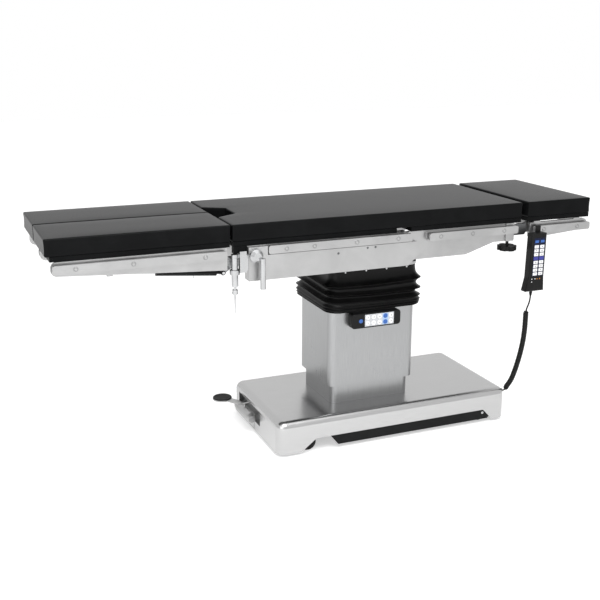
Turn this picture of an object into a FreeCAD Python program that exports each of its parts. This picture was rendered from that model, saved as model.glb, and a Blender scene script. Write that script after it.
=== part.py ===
import FreeCAD, Part
import math
import os
import re

import Sketcher
from FreeCAD import Placement, Rotation, Vector

# Operating table in millimetres: +X towards the head end, -Y towards the control panel, +Z up.
# The origin is on the floor, under the middle of the top's length and width.
# "Near" is the control panel's side, at negative Y. Each far piece mirrors its near one.

SIZES = dict(
    # Table top, along X
    leg_length=634, leg_gap=5, trunk_length=1205, head_gap=27, head_length=301,
    top_width=520, leg_split=4, cushion_thickness=63, board_thickness=17,
    cushion_corner=9, board_inset=3, board_end_inset=16,
    cutout_mouth=207, cutout_inner=114, cutout_depth=80,
    hinge_reach=682.5, column_reach=615.5, base_shift=65,
    bend_half=80, board_stop=33, board_restart=29, soft_gap=0.3,
    # Side frames and accessory rails
    frame_depth=124, rail_stand=22, rail_thickness=10, rail_height=30, rail_spacer=10,
    rail_screw=8, screw_proud=1, spacer_radius=9, seat_rail_drop=2, side_rail_drop=8, head_rail_drop=16,
    rail_end_round=8,
    # Rail screws: legs and seat from the leg joint, back from its hinge, head from its own start
    leg_screw_first=541.5, leg_screw_second=351.5, leg_screw_third=102.5, seat_screw_first=196.5,
    seat_screw_second=304.5, seat_screw_third=473.5, seat_screw_fourth=643.5, back_screw_first=144,
    back_screw_second=285, back_screw_third=428, head_screw_first=64, head_screw_second=226,
    # Base
    skirt_gap=12, base_height=128, base_length=1016, base_width=516, base_wall=3,
    base_corner=36, base_edge=28, arch_height=48, arch_foot_inset=92, arch_foot_run=65,
    arch_head_inset=64, arch_head_run=45, arch_round=12,
    pocket_depth=24, pocket_near=-56, pocket_far=192, pocket_low=52, pocket_high=111,
    slot_y=13, slot_width=7, slot_top=53,
    chassis_low=78, chassis_thickness=14, chassis_inset=30, chassis_side_inset=26,
    pedestal_length=240, pedestal_width=190, post_radius=10, post_inset=60, post_side_inset=70,
    # Casters
    caster_foot=129, caster_head_inset=113, caster_side=196, wheel_radius=32, wheel_width=18, wheel_gap=16,
    caster_trail=8, axle_radius=5, stem_radius=8, fork_width=14, fork_plate_radius=21,
    fork_plate_low=67, fork_plate_thickness=5, stem_top=96, tread_round=5, axle_cap=1, running_gap=0.05,
    # Floor lock
    bar_low=18, bar_height=38, bar_thickness=8, bar_side_gap=0.5, bar_foot_inset=251, bar_foot_run=30,
    bar_head_inset=77, bar_head_run=25, bar_head_rise=8, tie_low=44, tie_height=12, tie_width=40,
    tie_first=387, tie_second=727, guide_radius=8, guide_side=215, guide_top=124,
    # Pedal
    pedal_shift=17, pedal_axis_height=68, housing_radius=22, housing_near=2, housing_length=128,
    housing_taper=14, housing_nose=15, hub_radius=17, hub_length=26, shaft_radius=8, pad_reach=50,
    pad_side=215, pad_length=80, pad_width=88, pad_thickness=6, plate_thickness=5, plate_lift=12,
    arm_width=20, tee_stem_radius=4, tee_side=76, tee_height=14, tee_radius=3.5, tee_length=58,
    # Column
    sleeve_length=343, sleeve_width=278, sleeve_wall=4, sleeve_corner=26, sleeve_exposed=74, sleeve_height=300,
    shroud_length=374, shroud_width=300, shroud_height=313, shroud_wall=3, shroud_corner=28,
    shroud_seam=12, head_plate=8,
    lift_tube_radius=50, lift_tube_top=440, ram_radius=40, ram_low=180, ram_drill=12,
    panel_left=-109, panel_width=212, panel_drop=74, panel_height=60, panel_depth=35, panel_corner=13,
    panel_edge=4, keypad_left=55, keypad_width=126, keypad_height=48, keypad_low=6, keypad_proud=1,
    key_proud=1, key_radius=9, lamp_left=38,
    # Tilt joints inside the bellows
    table_rise=311, tilt_rise=85, roll_drop=188, column_ear_gap=140, column_ear_thickness=20,
    ear_half=34, ear_round=30, shaft_big=15, cross_half=45, cross_depth=27, roll_shaft_half=98,
    roll_ear_gap=152, roll_ear_thickness=18, roll_ear_half=30, cross_side=58,
    bellows_out_x=203, bellows_out_y=180, bellows_wall=24, bellows_top_drop=139, bellows_seat=0,
    # Carrier and slide
    carrier_half=166, carrier_side=178, carrier_thickness=12, slide_side=150, runner_width=36,
    runner_low=93, runner_height=36, block_half=55, block_margin=14, slide_gap=0.3,
    # Seat frame
    seat_foot_inset=55, beam_thickness=27, cheek_thickness=7.6, cheek_start=83,
    cover_thickness=18, cover_full=71, cover_drop=34, seat_nose_top=5, seat_nose_tip=67, seat_nose_drop=71,
    seat_nose_low=8, cross_width=36, cross_height=34, runner_foot=12, runner_head=57, runner_arm_low=34, runner_arm_top=18,
    runner_arm_half=8, hanger_length=20,
    bracket_reach=55, bracket_height=24, bracket_thickness=22,
    hinge_drop=6, hinge_pin=7, hinge_boss=10, seat_rail_start=74, seat_rail_end=22,
    # Leg joints
    leg_axis_shift=8.5, leg_axis_side=261, socket_gap=8, socket_length=25, socket_low_drop=90, socket_top_drop=14,
    socket_in=262, socket_out=280, top_lug_drop=38, top_lug_height=12, top_lug_radius=13,
    low_lug_drop=98, low_lug_height=16.5, low_lug_radius=18, barrel_radius=12, lug_gap=0.4, leg_pin=7,
    lock_radius=12, lock_length=43, lock_bore=5, plunger_top_drop=103, plunger_fork=16, plunger_fork_drop=170,
    plunger_tip_drop=240, plunger_tip_radius=1.5, plunger_rod_radius=4,
    fold_x=-60.5, fold_drop=54.5, fold_shaft=8, fold_arm=12, arm_out=226, arm_end=13.5, arm_reach=14,
    fold_lug_radius=19, inner_lug_out=206, inner_lug=12,
    gas_x=-28.5, gas_drop=93, gas_side=240, gas_pin=5, gas_eye=9, gas_eye_width=12, gas_anchor_x=-426.5,
    gas_anchor_drop=56, gas_radius=11, gas_wall=3, gas_start=25, gas_length=216, gas_rod=4,
    gas_lug_gap=3, gas_lug=4, gas_lug_half=10,
    # Leg frames
    leg_foot_inset=17, leg_head_inset=18.5, leg_plate=8, leg_low_foot=47, leg_low_head=81, leg_round=20,
    leg_inner_gap=8, leg_bar_height=24, leg_bar_width=20, leg_hinge_bar=36, leg_rail_start=20,
    leg_rail_end=24,
    # Clamp levers
    clamp_x=79.5, clamp_drop=32, clamp_radius=24, clamp_depth=26, clamp_dome=12, lever_radius=10,
    lever_shift=16, lever_side=311, lever_drop=148, lever_tip_round=6, clamp_gap=0.3, clamp_stub=6,
    # Back frame
    back_beam=14, back_beam_gap=0.3, back_start=7, back_deep_end=275, back_shallow=400, back_shallow_drop=71,
    back_drop=110, back_end_inset=31, back_rail_start=96, back_rail_end=0, back_cross_first=147,
    back_cross_second=327, back_cross_width=30, back_cross_height=30,
    # Head joint and head frame
    head_hinge_setback=14, head_hinge_drop=32, socket_ear=10, socket_ear_side=252, socket_round=20,
    head_pin=6, knob_back=24.5, knob_side=246, knob_radius=38, knob_height=18, knob_drop=109, knob_stem=6,
    knob_round=7, knob_boss=18, knob_boss_drop=38, knob_lobe=9,
    head_plate_thickness=14, head_frame_inset=9, head_top_drop=5, head_low_near=61, head_low_far=47,
    head_low_start=105, head_end_round=20, head_lug=12, head_lug_side=240, head_bar=30,
    head_rail_start=10, head_rail_end=13, socket_ear_drop=52, socket_ear_step=6, socket_ear_nose=10,
    socket_ear_top=8, socket_ear_corner=12, head_lug_reach=12, head_lug_under=14, head_lug_foot=30,
    head_bar_start=10, head_bar_end=60, head_bar_height=22, shim_length=30, shim_start=20, shim_end=80,
    head_board_inset=4,
    # Handset and its cord
    handset_along=30, handset_top_drop=38, handset_low_drop=272, handset_half_top=35, handset_half_waist=34,
    handset_half_low=46, handset_waist_drop=216, handset_depth=34, handset_gap=4, handset_round=6,
    hook_width=22, hook_shift=18, hook_thickness=2, hook_gap=0.4, hook_lip=18,
    keys_half=25, keys_low_drop=204, keys_high_drop=52, keys_proud=0.8, cord_radius=3, coil_radius=11,
    gland_radius=6, gland_length=20, cord_port_y=-205, cord_port_z=108, port_radius=9, port_length=14,
)

# Places worked out from the sizes. A formula may use sizes and other formulas.
FORMULAS = dict(
    top_length="leg_length + leg_gap + trunk_length + head_gap + head_length",
    foot_end="-top_length / 2",
    leg_joint="foot_end + leg_length + leg_gap / 2",
    trunk_start="leg_joint + leg_gap / 2",
    trunk_end="trunk_start + trunk_length",
    head_start="trunk_end + head_gap",
    head_end="head_start + head_length",
    back_hinge="leg_joint + hinge_reach",
    column_x="leg_joint + column_reach",
    base_x="column_x + base_shift",
    base_foot="base_x - base_length / 2",
    base_head="base_x + base_length / 2",
    base_top="skirt_gap + base_height",
    chassis_top="chassis_low + chassis_thickness",
    shroud_low="base_top + sleeve_exposed",
    column_top="shroud_low + shroud_height",
    frame_top="column_top + table_rise",
    frame_low="frame_top - frame_depth",
    board_top="frame_top + board_thickness",
    cushion_top="board_top + cushion_thickness",
    half_top="top_width / 2",
    rail_out="half_top + rail_stand",
    rail_in="rail_out - rail_thickness",
    frame_out="rail_in - rail_spacer",
    tilt_z="column_top + tilt_rise",
    roll_z="frame_top - roll_drop",
    carrier_top="frame_low - slide_gap - 2",
    carrier_low="carrier_top - carrier_thickness",
    seat_foot="leg_joint + seat_foot_inset",
    hinge_z="frame_top - hinge_drop",
    head_hinge="head_start - head_hinge_setback",
    head_hinge_z="frame_top - head_hinge_drop",
    leg_axis="leg_joint + leg_axis_shift",
    fold_axis="leg_joint + fold_x",
    gas_yoke="leg_joint + gas_x",
    gas_anchor="leg_joint + gas_anchor_x",
    gas_run_x="gas_anchor - gas_yoke",
    gas_run_z="gas_anchor_z - gas_z",
    gas_line="sqrt(gas_run_x ^ 2 + gas_run_z ^ 2)",
    leg_foot="foot_end + leg_foot_inset",
    leg_head="leg_joint - leg_head_inset",
    socket_right="seat_foot - socket_gap",
    socket_left="socket_right - socket_length",
    pedal_x="base_foot - pedal_shift",
    bar_out="base_width / 2 - base_wall - bar_side_gap",
    bar_top="bar_low + bar_height",
    back_out="frame_out - cheek_thickness - back_beam_gap",
    back_stop="trunk_end - back_end_inset",
    clamp_axis="leg_joint + clamp_x",
    knob_x="back_stop - knob_back",
    head_frame_start="head_start + head_frame_inset",
    caster_head="base_length - caster_head_inset",
    panel_low="column_top - panel_drop",
    bellows_height="table_rise - bellows_top_drop",
    socket_low="frame_top - socket_low_drop",
    socket_top="frame_top - socket_top_drop",
    top_lug="frame_top - top_lug_drop",
    low_lug="frame_top - low_lug_drop",
    plunger_top="frame_top - plunger_top_drop",
    plunger_fork_low="frame_top - plunger_fork_drop",
    plunger_tip="frame_top - plunger_tip_drop",
    fold_z="frame_top - fold_drop",
    gas_z="frame_top - gas_drop",
    gas_anchor_z="frame_top - gas_anchor_drop",
    clamp_z="frame_top - clamp_drop",
    lever_low="frame_top - lever_drop",
    knob_low="frame_top - knob_drop",
    knob_boss_top="frame_top - knob_boss_drop",
    handset_x="head_hinge + handset_along",
    handset_top="frame_top - handset_top_drop",
    handset_low="frame_top - handset_low_drop",
    handset_waist="frame_top - handset_waist_drop",
    keys_low="frame_top - keys_low_drop",
    keys_high="frame_top - keys_high_drop",
)

doc = FreeCAD.newDocument("operating_table")
sheet = doc.addObject("Spreadsheet::Sheet", "Sizes")
for row, (alias, number) in enumerate(SIZES.items(), 1):
    sheet.set(f"A{row}", alias)
    sheet.set(f"B{row}", str(number))
    sheet.setAlias(f"B{row}", alias)
doc.recompute()

WORD = re.compile(r"[a-z][a-z_0-9]*")
NODES = {}


def spell(text):
    """Write a formula out until it names only cells of the sheet."""

    def swap(match):
        word = match.group()
        if word in FORMULAS:
            return f"({spell(FORMULAS[word])})"
        return f"Sizes.{word}" if word in SIZES else word

    return WORD.sub(swap, str(text))


def value(text):
    """A formula's number, as the sheet gives it now."""
    return float(sheet.evalExpression(spell(text)))


def bind(item, prop, text):
    item.setExpression(prop, spell(text))


def near(low, high):
    """The span on the near side of two distances from the middle."""
    return f"-({high})", f"-({low})"


def block(name, x, y, z):
    """A box over a low and a high formula on each axis."""
    item = doc.addObject("Part::Box", name)
    for side, axis, (low, high) in zip(("Length", "Width", "Height"), "xyz", (x, y, z)):
        bind(item, side, f"({high}) - ({low})")
        bind(item, f"Placement.Base.{axis}", low)
    return item


TURNS = dict(x=Vector(1, 0, 0), y=Vector(0, 1, 0), z=Vector(0, 0, 1))


def round_bar(name, axis, centre, radius, span, end_radius=None):
    """A cylinder, or a cone where end_radius is given, along an axis over a span."""
    item = doc.addObject("Part::Cylinder" if end_radius is None else "Part::Cone", name)
    item.Placement = Placement(Vector(), Rotation(Vector(0, 0, 1), TURNS[axis]))
    low, high = span
    bind(item, "Height", f"({high}) - ({low})")
    bind(item, "Radius" if end_radius is None else "Radius1", radius)
    if end_radius is not None:
        bind(item, "Radius2", end_radius)
    bind(item, f"Placement.Base.{axis}", low)
    for other, text in zip([a for a in "xyz" if a != axis], centre):
        bind(item, f"Placement.Base.{other}", text)
    return item


PLANES = dict(y=("XZ_Plane", -1), z=("XY_Plane", 1), x=("YZ_Plane", 1))


def sketch_outline(body, name, axis, level, points):
    """A closed outline square to an axis, each corner tied to the sheet."""
    role, way = PLANES[axis]
    sketch = body.newObject("Sketcher::SketchObject", name)
    plane = next(f for f in body.Origin.OriginFeatures if f.Role == role)
    sketch.AttachmentSupport = [(plane, "")]
    sketch.MapMode = "FlatFace"
    bind(sketch, "AttachmentOffset.Base.z", f"{way} * ({level})")
    corners = [Vector(value(a), value(b), 0) for a, b in points]
    count = len(corners)
    for i in range(count):
        sketch.addGeometry(Part.LineSegment(corners[i], corners[(i + 1) % count]), False)
    for i in range(count):
        sketch.addConstraint(Sketcher.Constraint("Coincident", i, 2, (i + 1) % count, 1))
    for i, pair in enumerate(points):
        for kind, text, number in zip(("DistanceX", "DistanceY"), pair, corners[i]):
            k = sketch.addConstraint(Sketcher.Constraint(kind, -1, 1, i, 1, number))
            sketch.setExpression(f"Constraints[{k}]", spell(text))
    return sketch


def edges_where(shape, test):
    return [f"Edge{i}" for i, edge in enumerate(shape.Edges, 1) if test(edge)]


def along(axis, **places):
    """A test for straight edges along an axis, at the given places on the other axes."""
    spots = {k: value(v) for k, v in places.items()}

    def test(edge):
        box = edge.BoundBox
        size = dict(x=box.XLength, y=box.YLength, z=box.ZLength)
        low = dict(x=box.XMin, y=box.YMin, z=box.ZMin)
        thin = all(size[a] < 1e-5 for a in "xyz" if a != axis)
        return thin and all(abs(low[k] - v) < 1e-4 for k, v in spots.items())

    return test


def level_with(axis, place):
    """A test for edges that lie in the plane at a place on an axis."""
    spot = value(place)

    def test(edge):
        box = edge.BoundBox
        low, high = dict(x=(box.XMin, box.XMax), y=(box.YMin, box.YMax), z=(box.ZMin, box.ZMax))[axis]
        return abs(low - spot) < 1e-4 and abs(high - spot) < 1e-4

    return test


def plate(name, axis, points, span, rounds=()):
    """A body padded from an outline over a span, then rounded edge set by edge set."""
    body = doc.addObject("PartDesign::Body", name)
    low, high = span
    start = high if axis == "y" else low
    sketch = sketch_outline(body, name + "_outline", axis, start, points)
    feature = body.newObject("PartDesign::Pad", name + "_pad")
    feature.Profile = sketch
    bind(feature, "Length", f"({high}) - ({low})")
    doc.recompute()
    for i, (test, radius) in enumerate(rounds):
        edges = edges_where(feature.Shape, test)
        fillet = body.newObject("PartDesign::Fillet", f"{name}_round_{i}")
        fillet.Base = (feature, edges)
        bind(fillet, "Radius", radius)
        doc.recompute()
        feature = fillet
    body.Tip = feature
    return body


def rectangle(a, b):
    return [(a[0], b[0]), (a[1], b[0]), (a[1], b[1]), (a[0], b[1])]


def cut(name, base, *tools):
    for i, tool in enumerate(tools):
        item = doc.addObject("Part::Cut", f"{name}_cut_{i}")
        item.Base = base
        item.Tool = tool
        base = item
    return base


def fuse(name, *items):
    item = doc.addObject("Part::MultiFuse", name + "_fuse")
    item.Shapes = list(items)
    item.Refine = True
    return item


def group(name, *items):
    """Separate solids of one node."""
    if len(items) == 1:
        return items[0]
    item = doc.addObject("Part::Compound", name + "_group")
    item.Links = list(items)
    return item


def mirrored(item):
    """The far side's copy of a near piece."""
    copy = doc.addObject("Part::Mirroring", item.Name + "_far")
    copy.Source = item
    copy.Base = Vector(0, 0, 0)
    copy.Normal = Vector(0, 1, 0)
    return copy


def both(*items):
    """Near pieces with their mirrored copies."""
    return [*items, *(mirrored(item) for item in items)]


def node(name, item):
    item.Label = name
    NODES[name] = item


def rail(name, x, top, screws):
    """A near accessory rail on its spacers, with screw heads: rail, spacers and screws as separate solids."""
    low = f"({top}) - rail_height"
    x0, x1 = x
    bar = plate(
        name, "y", rectangle(x, (low, top)), near("rail_in", "rail_out"),
        [(along("y", x=x0), "rail_end_round"), (along("y", x=x1), "rail_end_round")],
    )
    pieces = [bar]
    height = f"({top}) - rail_height / 2"
    for i, at in enumerate(screws):
        pieces.append(round_bar(f"{name}_spacer_{i}", "y", (at, height), "spacer_radius", near("frame_out", "rail_in")))
        span = near("rail_out", "rail_out + screw_proud")
        pieces.append(round_bar(f"{name}_screw_{i}", "y", (at, height), "rail_screw", span))
    return pieces


# Base chassis: plate, column pedestal and posts under the cover
def base_chassis():
    low, high = "chassis_low", "chassis_top"
    side = "base_width / 2 - chassis_side_inset"
    deck = block("deck", ("base_foot + chassis_inset", "base_head - chassis_inset"), (f"-({side})", side), (low, high))
    holes = []
    for x in ("caster_foot", "caster_head"):
        for way in (-1, 1):
            centre = (f"base_foot + {x}", f"{way} * caster_side")
            holes.append(round_bar("caster_hole", "z", centre, "stem_radius + running_gap", (f"{low} - 1", f"{high} + 1")))
    for x in ("tie_first", "tie_second"):
        for way in (-1, 1):
            centre = (f"base_foot + {x}", f"{way} * guide_side")
            holes.append(round_bar("guide_hole", "z", centre, "guide_radius + running_gap", (f"{low} - 1", f"{high} + 1")))
    deck = cut("deck", deck, *holes)
    half_x, half_y = "pedestal_length / 2", "pedestal_width / 2"
    pedestal = block(
        "pedestal", (f"column_x - {half_x}", f"column_x + {half_x}"), (f"-{half_y}", half_y), (high, "base_top")
    )
    well = round_bar("well", "z", ("column_x", "0"), "lift_tube_radius + 1", (high, "base_top + 1"))
    pedestal = cut("pedestal", pedestal, well)
    posts = []
    for x in ("base_foot + post_inset", "base_head - post_inset"):
        for way in (-1, 1):
            centre = (x, f"{way} * (base_width / 2 - post_side_inset)")
            posts.append(round_bar("post", "z", centre, "post_radius", (high, "base_top - base_wall")))
    node("base_chassis", group("base_chassis", fuse("chassis", deck, pedestal, *posts)))


# Base cover: one drawn shell with arches over the casters and a pocket for the pedal housing
def base_cover():
    half = "base_width / 2"
    corner = along("z")
    outer = plate(
        "cover_outer", "z", rectangle(("base_foot", "base_head"), (f"-{half}", half)), ("skirt_gap", "base_top"),
        [(corner, "base_corner"), (level_with("z", "base_top"), "base_edge")],
    )
    inner_half = f"({half} - base_wall)"
    inner = plate(
        "cover_inner", "z",
        rectangle(("base_foot + base_wall", "base_head - base_wall"), (f"-{inner_half}", inner_half)),
        ("skirt_gap - 1", "base_top - base_wall"),
        [(corner, "base_corner - base_wall"), (level_with("z", "base_top - base_wall"), "base_edge - base_wall")],
    )
    pocket = block(
        "pocket", ("base_foot - 1", "base_foot + pocket_depth"), ("pocket_near", "pocket_far"),
        ("pocket_low", "pocket_high"),
    )
    pocket_wall = block(
        "pocket_wall", ("base_foot - 1", "base_foot + pocket_depth + base_wall"),
        ("pocket_near - base_wall", "pocket_far + base_wall"), ("pocket_low - base_wall", "pocket_high + base_wall"),
    )
    shell = cut("cover_shell", cut("cover_body", outer, pocket), cut("cover_hollow", inner, pocket_wall))
    arch_top = "skirt_gap + arch_height"
    arch = plate(
        "arch", "y",
        [
            ("base_foot + arch_foot_inset", "skirt_gap - 2"),
            ("base_head - arch_head_inset + 2", "skirt_gap - 2"),
            ("base_head - arch_head_inset - arch_head_run", arch_top),
            ("base_foot + arch_foot_inset + arch_foot_run", arch_top),
        ],
        (f"-{half} - 1", f"{half} + 1"),
        [(along("y", z=arch_top), "arch_round")],
    )
    slot = block(
        "cover_slot", ("base_foot - 1", "base_foot + base_wall + 1"), ("slot_y - slot_width", "slot_y"),
        ("skirt_gap - 1", "slot_top"),
    )
    window = block(
        "cover_window",
        ("column_x - pedestal_length / 2 - 4", "column_x + pedestal_length / 2 + 4"),
        ("-pedestal_width / 2 - 4", "pedestal_width / 2 + 4"), ("base_top - base_wall - 1", "base_top + 1"),
    )
    node("base_cover", cut("cover", shell, arch, slot, window))


def tube_section(name, length, width, wall, corner, z):
    """A rounded rectangular tube about the column's axis."""
    half_x, half_y = f"({length}) / 2", f"({width}) / 2"
    outer = plate(
        name + "_outer", "z", rectangle((f"column_x - {half_x}", f"column_x + {half_x}"), (f"-{half_y}", half_y)), z,
        [(along("z"), corner)],
    )
    x = (f"column_x - {half_x} + {wall}", f"column_x + {half_x} - {wall}")
    y = (f"-{half_y} + {wall}", f"{half_y} - {wall}")
    inner = plate(
        name + "_inner", "z", rectangle(x, y), (f"{z[0]} - 1", f"{z[1]} + 1"), [(along("z"), f"{corner} - {wall}")]
    )
    return cut(name, outer, inner)


# Column: fixed sleeve and lift cylinder, then the moving covers, head and ram
def column():
    sleeve_z = ("base_top", "base_top + sleeve_height")
    sleeve = tube_section("sleeve", "sleeve_length", "sleeve_width", "sleeve_wall", "sleeve_corner", sleeve_z)
    node("lower_sleeve", sleeve)
    centre = ("column_x", "0")
    tube = round_bar("lift_tube", "z", centre, "lift_tube_radius", ("chassis_top", "lift_tube_top"))
    drill = round_bar(
        "lift_bore", "z", centre, "ram_radius + running_gap", ("chassis_top + ram_drill", "lift_tube_top + 1")
    )
    node("lift_cylinder", cut("lift_cylinder", tube, drill))
    skin_top = "column_top - head_plate"
    skin = tube_section("shroud", "shroud_length", "shroud_width", "shroud_wall", "shroud_corner", ("shroud_low", skin_top))
    reach = ("column_x - shroud_length", "column_x + shroud_length")
    z = ("shroud_low - 1", "column_top")
    front = cut("cover_front", skin, block("rear_half", reach, ("shroud_seam", "shroud_width"), z))
    rear = cut("cover_rear", skin, block("front_half", reach, ("-shroud_width", "shroud_seam"), z))
    node("column_cover_front", front)
    node("column_cover_rear", rear)
    half_x, half_y = "shroud_length / 2", "shroud_width / 2"
    lid = plate(
        "column_lid", "z", rectangle((f"column_x - {half_x}", f"column_x + {half_x}"), (f"-{half_y}", half_y)),
        (skin_top, "column_top"), [(along("z"), "shroud_corner")],
    )
    ear_top = "tilt_z + ear_round"
    ear = plate(
        "column_ear", "y", rectangle(("column_x - ear_half", "column_x + ear_half"), ("column_top", ear_top)),
        near("column_ear_gap / 2", "column_ear_gap / 2 + column_ear_thickness"),
        [(along("y", z=ear_top), "ear_round - 4")],
    )
    bore = round_bar("tilt_bore", "y", ("column_x", "tilt_z"), "shaft_big + running_gap", ("-shroud_width", "shroud_width"))
    ram = round_bar("ram", "z", centre, "ram_radius", ("ram_low", skin_top))
    node("column_head", cut("column_head", fuse("column_head", lid, *both(ear), ram), bore))


# Control panel on the column's near face
def control_panel():
    face = "shroud_width / 2"
    left = "column_x + panel_left"
    x = (left, f"{left} + panel_width")
    z = ("panel_low", "panel_low + panel_height")
    front = "shroud_width / 2 + panel_depth"
    housing = plate(
        "panel", "y", rectangle(x, z), near(face, front),
        [(along("y"), "panel_corner"), (level_with("y", f"-({front})"), "panel_edge")],
    )
    node("panel_housing", housing)
    pad_left = f"{left} + keypad_left"
    pad_low = "panel_low + keypad_low"
    pad = plate(
        "panel_pad", "y",
        rectangle((pad_left, f"{pad_left} + keypad_width"), (pad_low, f"{pad_low} + keypad_height")),
        near(front, f"{front} + keypad_proud"), [(along("y"), "3")],
    )
    keys = []
    for column_number in range(5):
        for line in range(2):
            centre = (
                f"{pad_left} + keypad_width * {(column_number + 0.5) / 5}",
                f"{pad_low} + keypad_height * {(line + 0.5) / 2}",
            )
            span = near(f"{front} + keypad_proud", f"{front} + keypad_proud + key_proud")
            keys.append(round_bar("panel_key", "y", centre, "key_radius", span))
    lamp = round_bar(
        "panel_lamp", "y", (f"{left} + lamp_left", "panel_low + panel_height / 2"), "key_radius",
        near(front, f"{front} + key_proud"),
    )
    node("panel_keypad", group("panel_keypad", fuse("panel_keys", pad, *keys), lamp))


# Universal joint between column and table top, and the bellows round it
def tilt_joint():
    x = ("column_x - cross_half", "column_x + cross_half")
    body = block("cross_block", x, ("-cross_side", "cross_side"), ("tilt_z - cross_depth", "roll_z + 22"))
    reach = "column_ear_gap / 2 + column_ear_thickness + 2"
    tilt_shaft = round_bar("tilt_shaft", "y", ("column_x", "tilt_z"), "shaft_big", (f"-({reach})", reach))
    roll_shaft = round_bar(
        "roll_shaft", "x", ("0", "roll_z"), "shaft_big", ("column_x - roll_shaft_half", "column_x + roll_shaft_half")
    )
    node("tilt_cross", fuse("tilt_cross", body, tilt_shaft, roll_shaft))
    base = "column_top + bellows_seat"
    middle = f"{base} + bellows_height / 2"
    top = f"{base} + bellows_height"
    length, width = "bellows_out_x * 2", "bellows_out_y * 2"
    for name, z in (("bellows_lower", (base, f"{middle} - 0.15")), ("bellows_upper", (f"{middle} + 0.15", top))):
        node(name, tube_section(name, length, width, "bellows_wall", "shroud_corner", z))


# Carrier under the top: roll ears, deck and the blocks that the top's runners slide in
def carrier():
    deck = block(
        "carrier_deck", ("column_x - carrier_half", "column_x + carrier_half"), ("-carrier_side", "carrier_side"),
        ("carrier_low", "carrier_top"),
    )
    pieces = [deck]
    bore = round_bar("roll_bore", "x", ("0", "roll_z"), "shaft_big + running_gap", ("column_x - 200", "column_x + 200"))
    for way in (-1, 1):
        middle = f"column_x + {way} * (roll_ear_gap + roll_ear_thickness) / 2"
        pieces.append(
            block(
                "roll_ear", (f"{middle} - roll_ear_thickness / 2", f"{middle} + roll_ear_thickness / 2"),
                ("-roll_ear_half", "roll_ear_half"), ("roll_z - 25", "carrier_low"),
            )
        )
    half = "runner_width / 2 + block_margin"
    top = "frame_top - runner_low + runner_height + block_margin"
    bearing = block(
        "slide_block", ("column_x - block_half", "column_x + block_half"), near(f"slide_side - ({half})", f"slide_side + {half}"),
        ("carrier_top", top),
    )
    channel = block(
        "slide_channel", ("column_x - block_half - 1", "column_x + block_half + 1"),
        near("slide_side - runner_width / 2 - slide_gap", "slide_side + runner_width / 2 + slide_gap"),
        ("frame_top - runner_low - slide_gap", "frame_top - runner_low + runner_height + slide_gap"),
    )
    bearing = cut("bearing", bearing, channel)
    node("carrier", cut("carrier", fuse("carrier", *pieces, *both(bearing)), bore))


# Seat frame: side beams with thin cheeks at the back hinge, cross members and slide runners
def seat_frame():
    nose_x = "back_hinge + seat_nose_tip"
    cheek_x = "back_hinge - cheek_start"
    beam = block(
        "seat_beam", ("seat_foot", cheek_x), near("frame_out - beam_thickness", "frame_out"), ("frame_low", "frame_top")
    )
    cheek = plate(
        "seat_cheek", "y",
        [
            (cheek_x, "frame_low"),
            ("back_hinge + seat_nose_low", "frame_low"),
            (nose_x, "frame_top - seat_nose_drop"),
            ("back_hinge + seat_nose_low + 10", "frame_top"),
            (cheek_x, "frame_top"),
        ],
        near("frame_out - cheek_thickness", "frame_out"),
    )
    pin_tip = "back_out - back_beam - 2"
    pin = round_bar("back_pin", "y", ("back_hinge", "hinge_z"), "hinge_pin", near(pin_tip, "frame_out"))
    boss = round_bar("back_boss", "y", ("back_hinge", "hinge_z"), "hinge_boss", near("back_out + back_beam_gap", "frame_out"))
    inner = "frame_out - beam_thickness"
    runner = block(
        "runner", ("seat_foot + runner_foot", "back_hinge + runner_head"),
        near("slide_side - runner_width / 2", "slide_side + runner_width / 2"),
        ("frame_top - runner_low", "frame_top - runner_low + runner_height"),
    )
    low = "frame_top - cross_height"
    foot_cross = block(
        "foot_cross", ("seat_foot", "seat_foot + runner_foot"), (f"-({inner})", inner),
        ("frame_top - runner_low", "frame_top"),
    )
    mid_cross = block(
        "mid_cross", ("column_x - cross_width * 6", "column_x - cross_width * 5"), (f"-({inner})", inner), (low, "frame_top")
    )
    back_cross = block(
        "back_cross", (f"{cheek_x} - cross_width", cheek_x), (f"-({inner})", inner), (low, "frame_top")
    )
    hanger_x = ("back_hinge + runner_head - hanger_length", "back_hinge + runner_head")
    arm = block(
        "runner_arm", (f"{cheek_x} - cross_width", "back_hinge + runner_head"),
        near("slide_side - runner_arm_half", "slide_side + runner_arm_half"),
        ("frame_top - runner_arm_low", "frame_top - runner_arm_top"),
    )
    hanger = block(
        "runner_hanger", hanger_x, near("slide_side - runner_arm_half", "slide_side + runner_arm_half"),
        ("frame_top - runner_low + runner_height", "frame_top - runner_arm_top"),
    )
    frame = fuse(
        "seat_frame", *both(beam, cheek, pin, boss, runner, arm, hanger), foot_cross, mid_cross, back_cross
    )
    screws = [f"leg_joint + seat_screw_{at}" for at in ("first", "second", "third", "fourth")]
    rail_x = ("seat_foot + seat_rail_start", "back_hinge + seat_rail_end")
    pieces = rail("seat_rail", rail_x, "frame_top - seat_rail_drop", screws)
    node("seat_frame", group("seat_frame", frame, *both(*pieces)))


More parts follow.
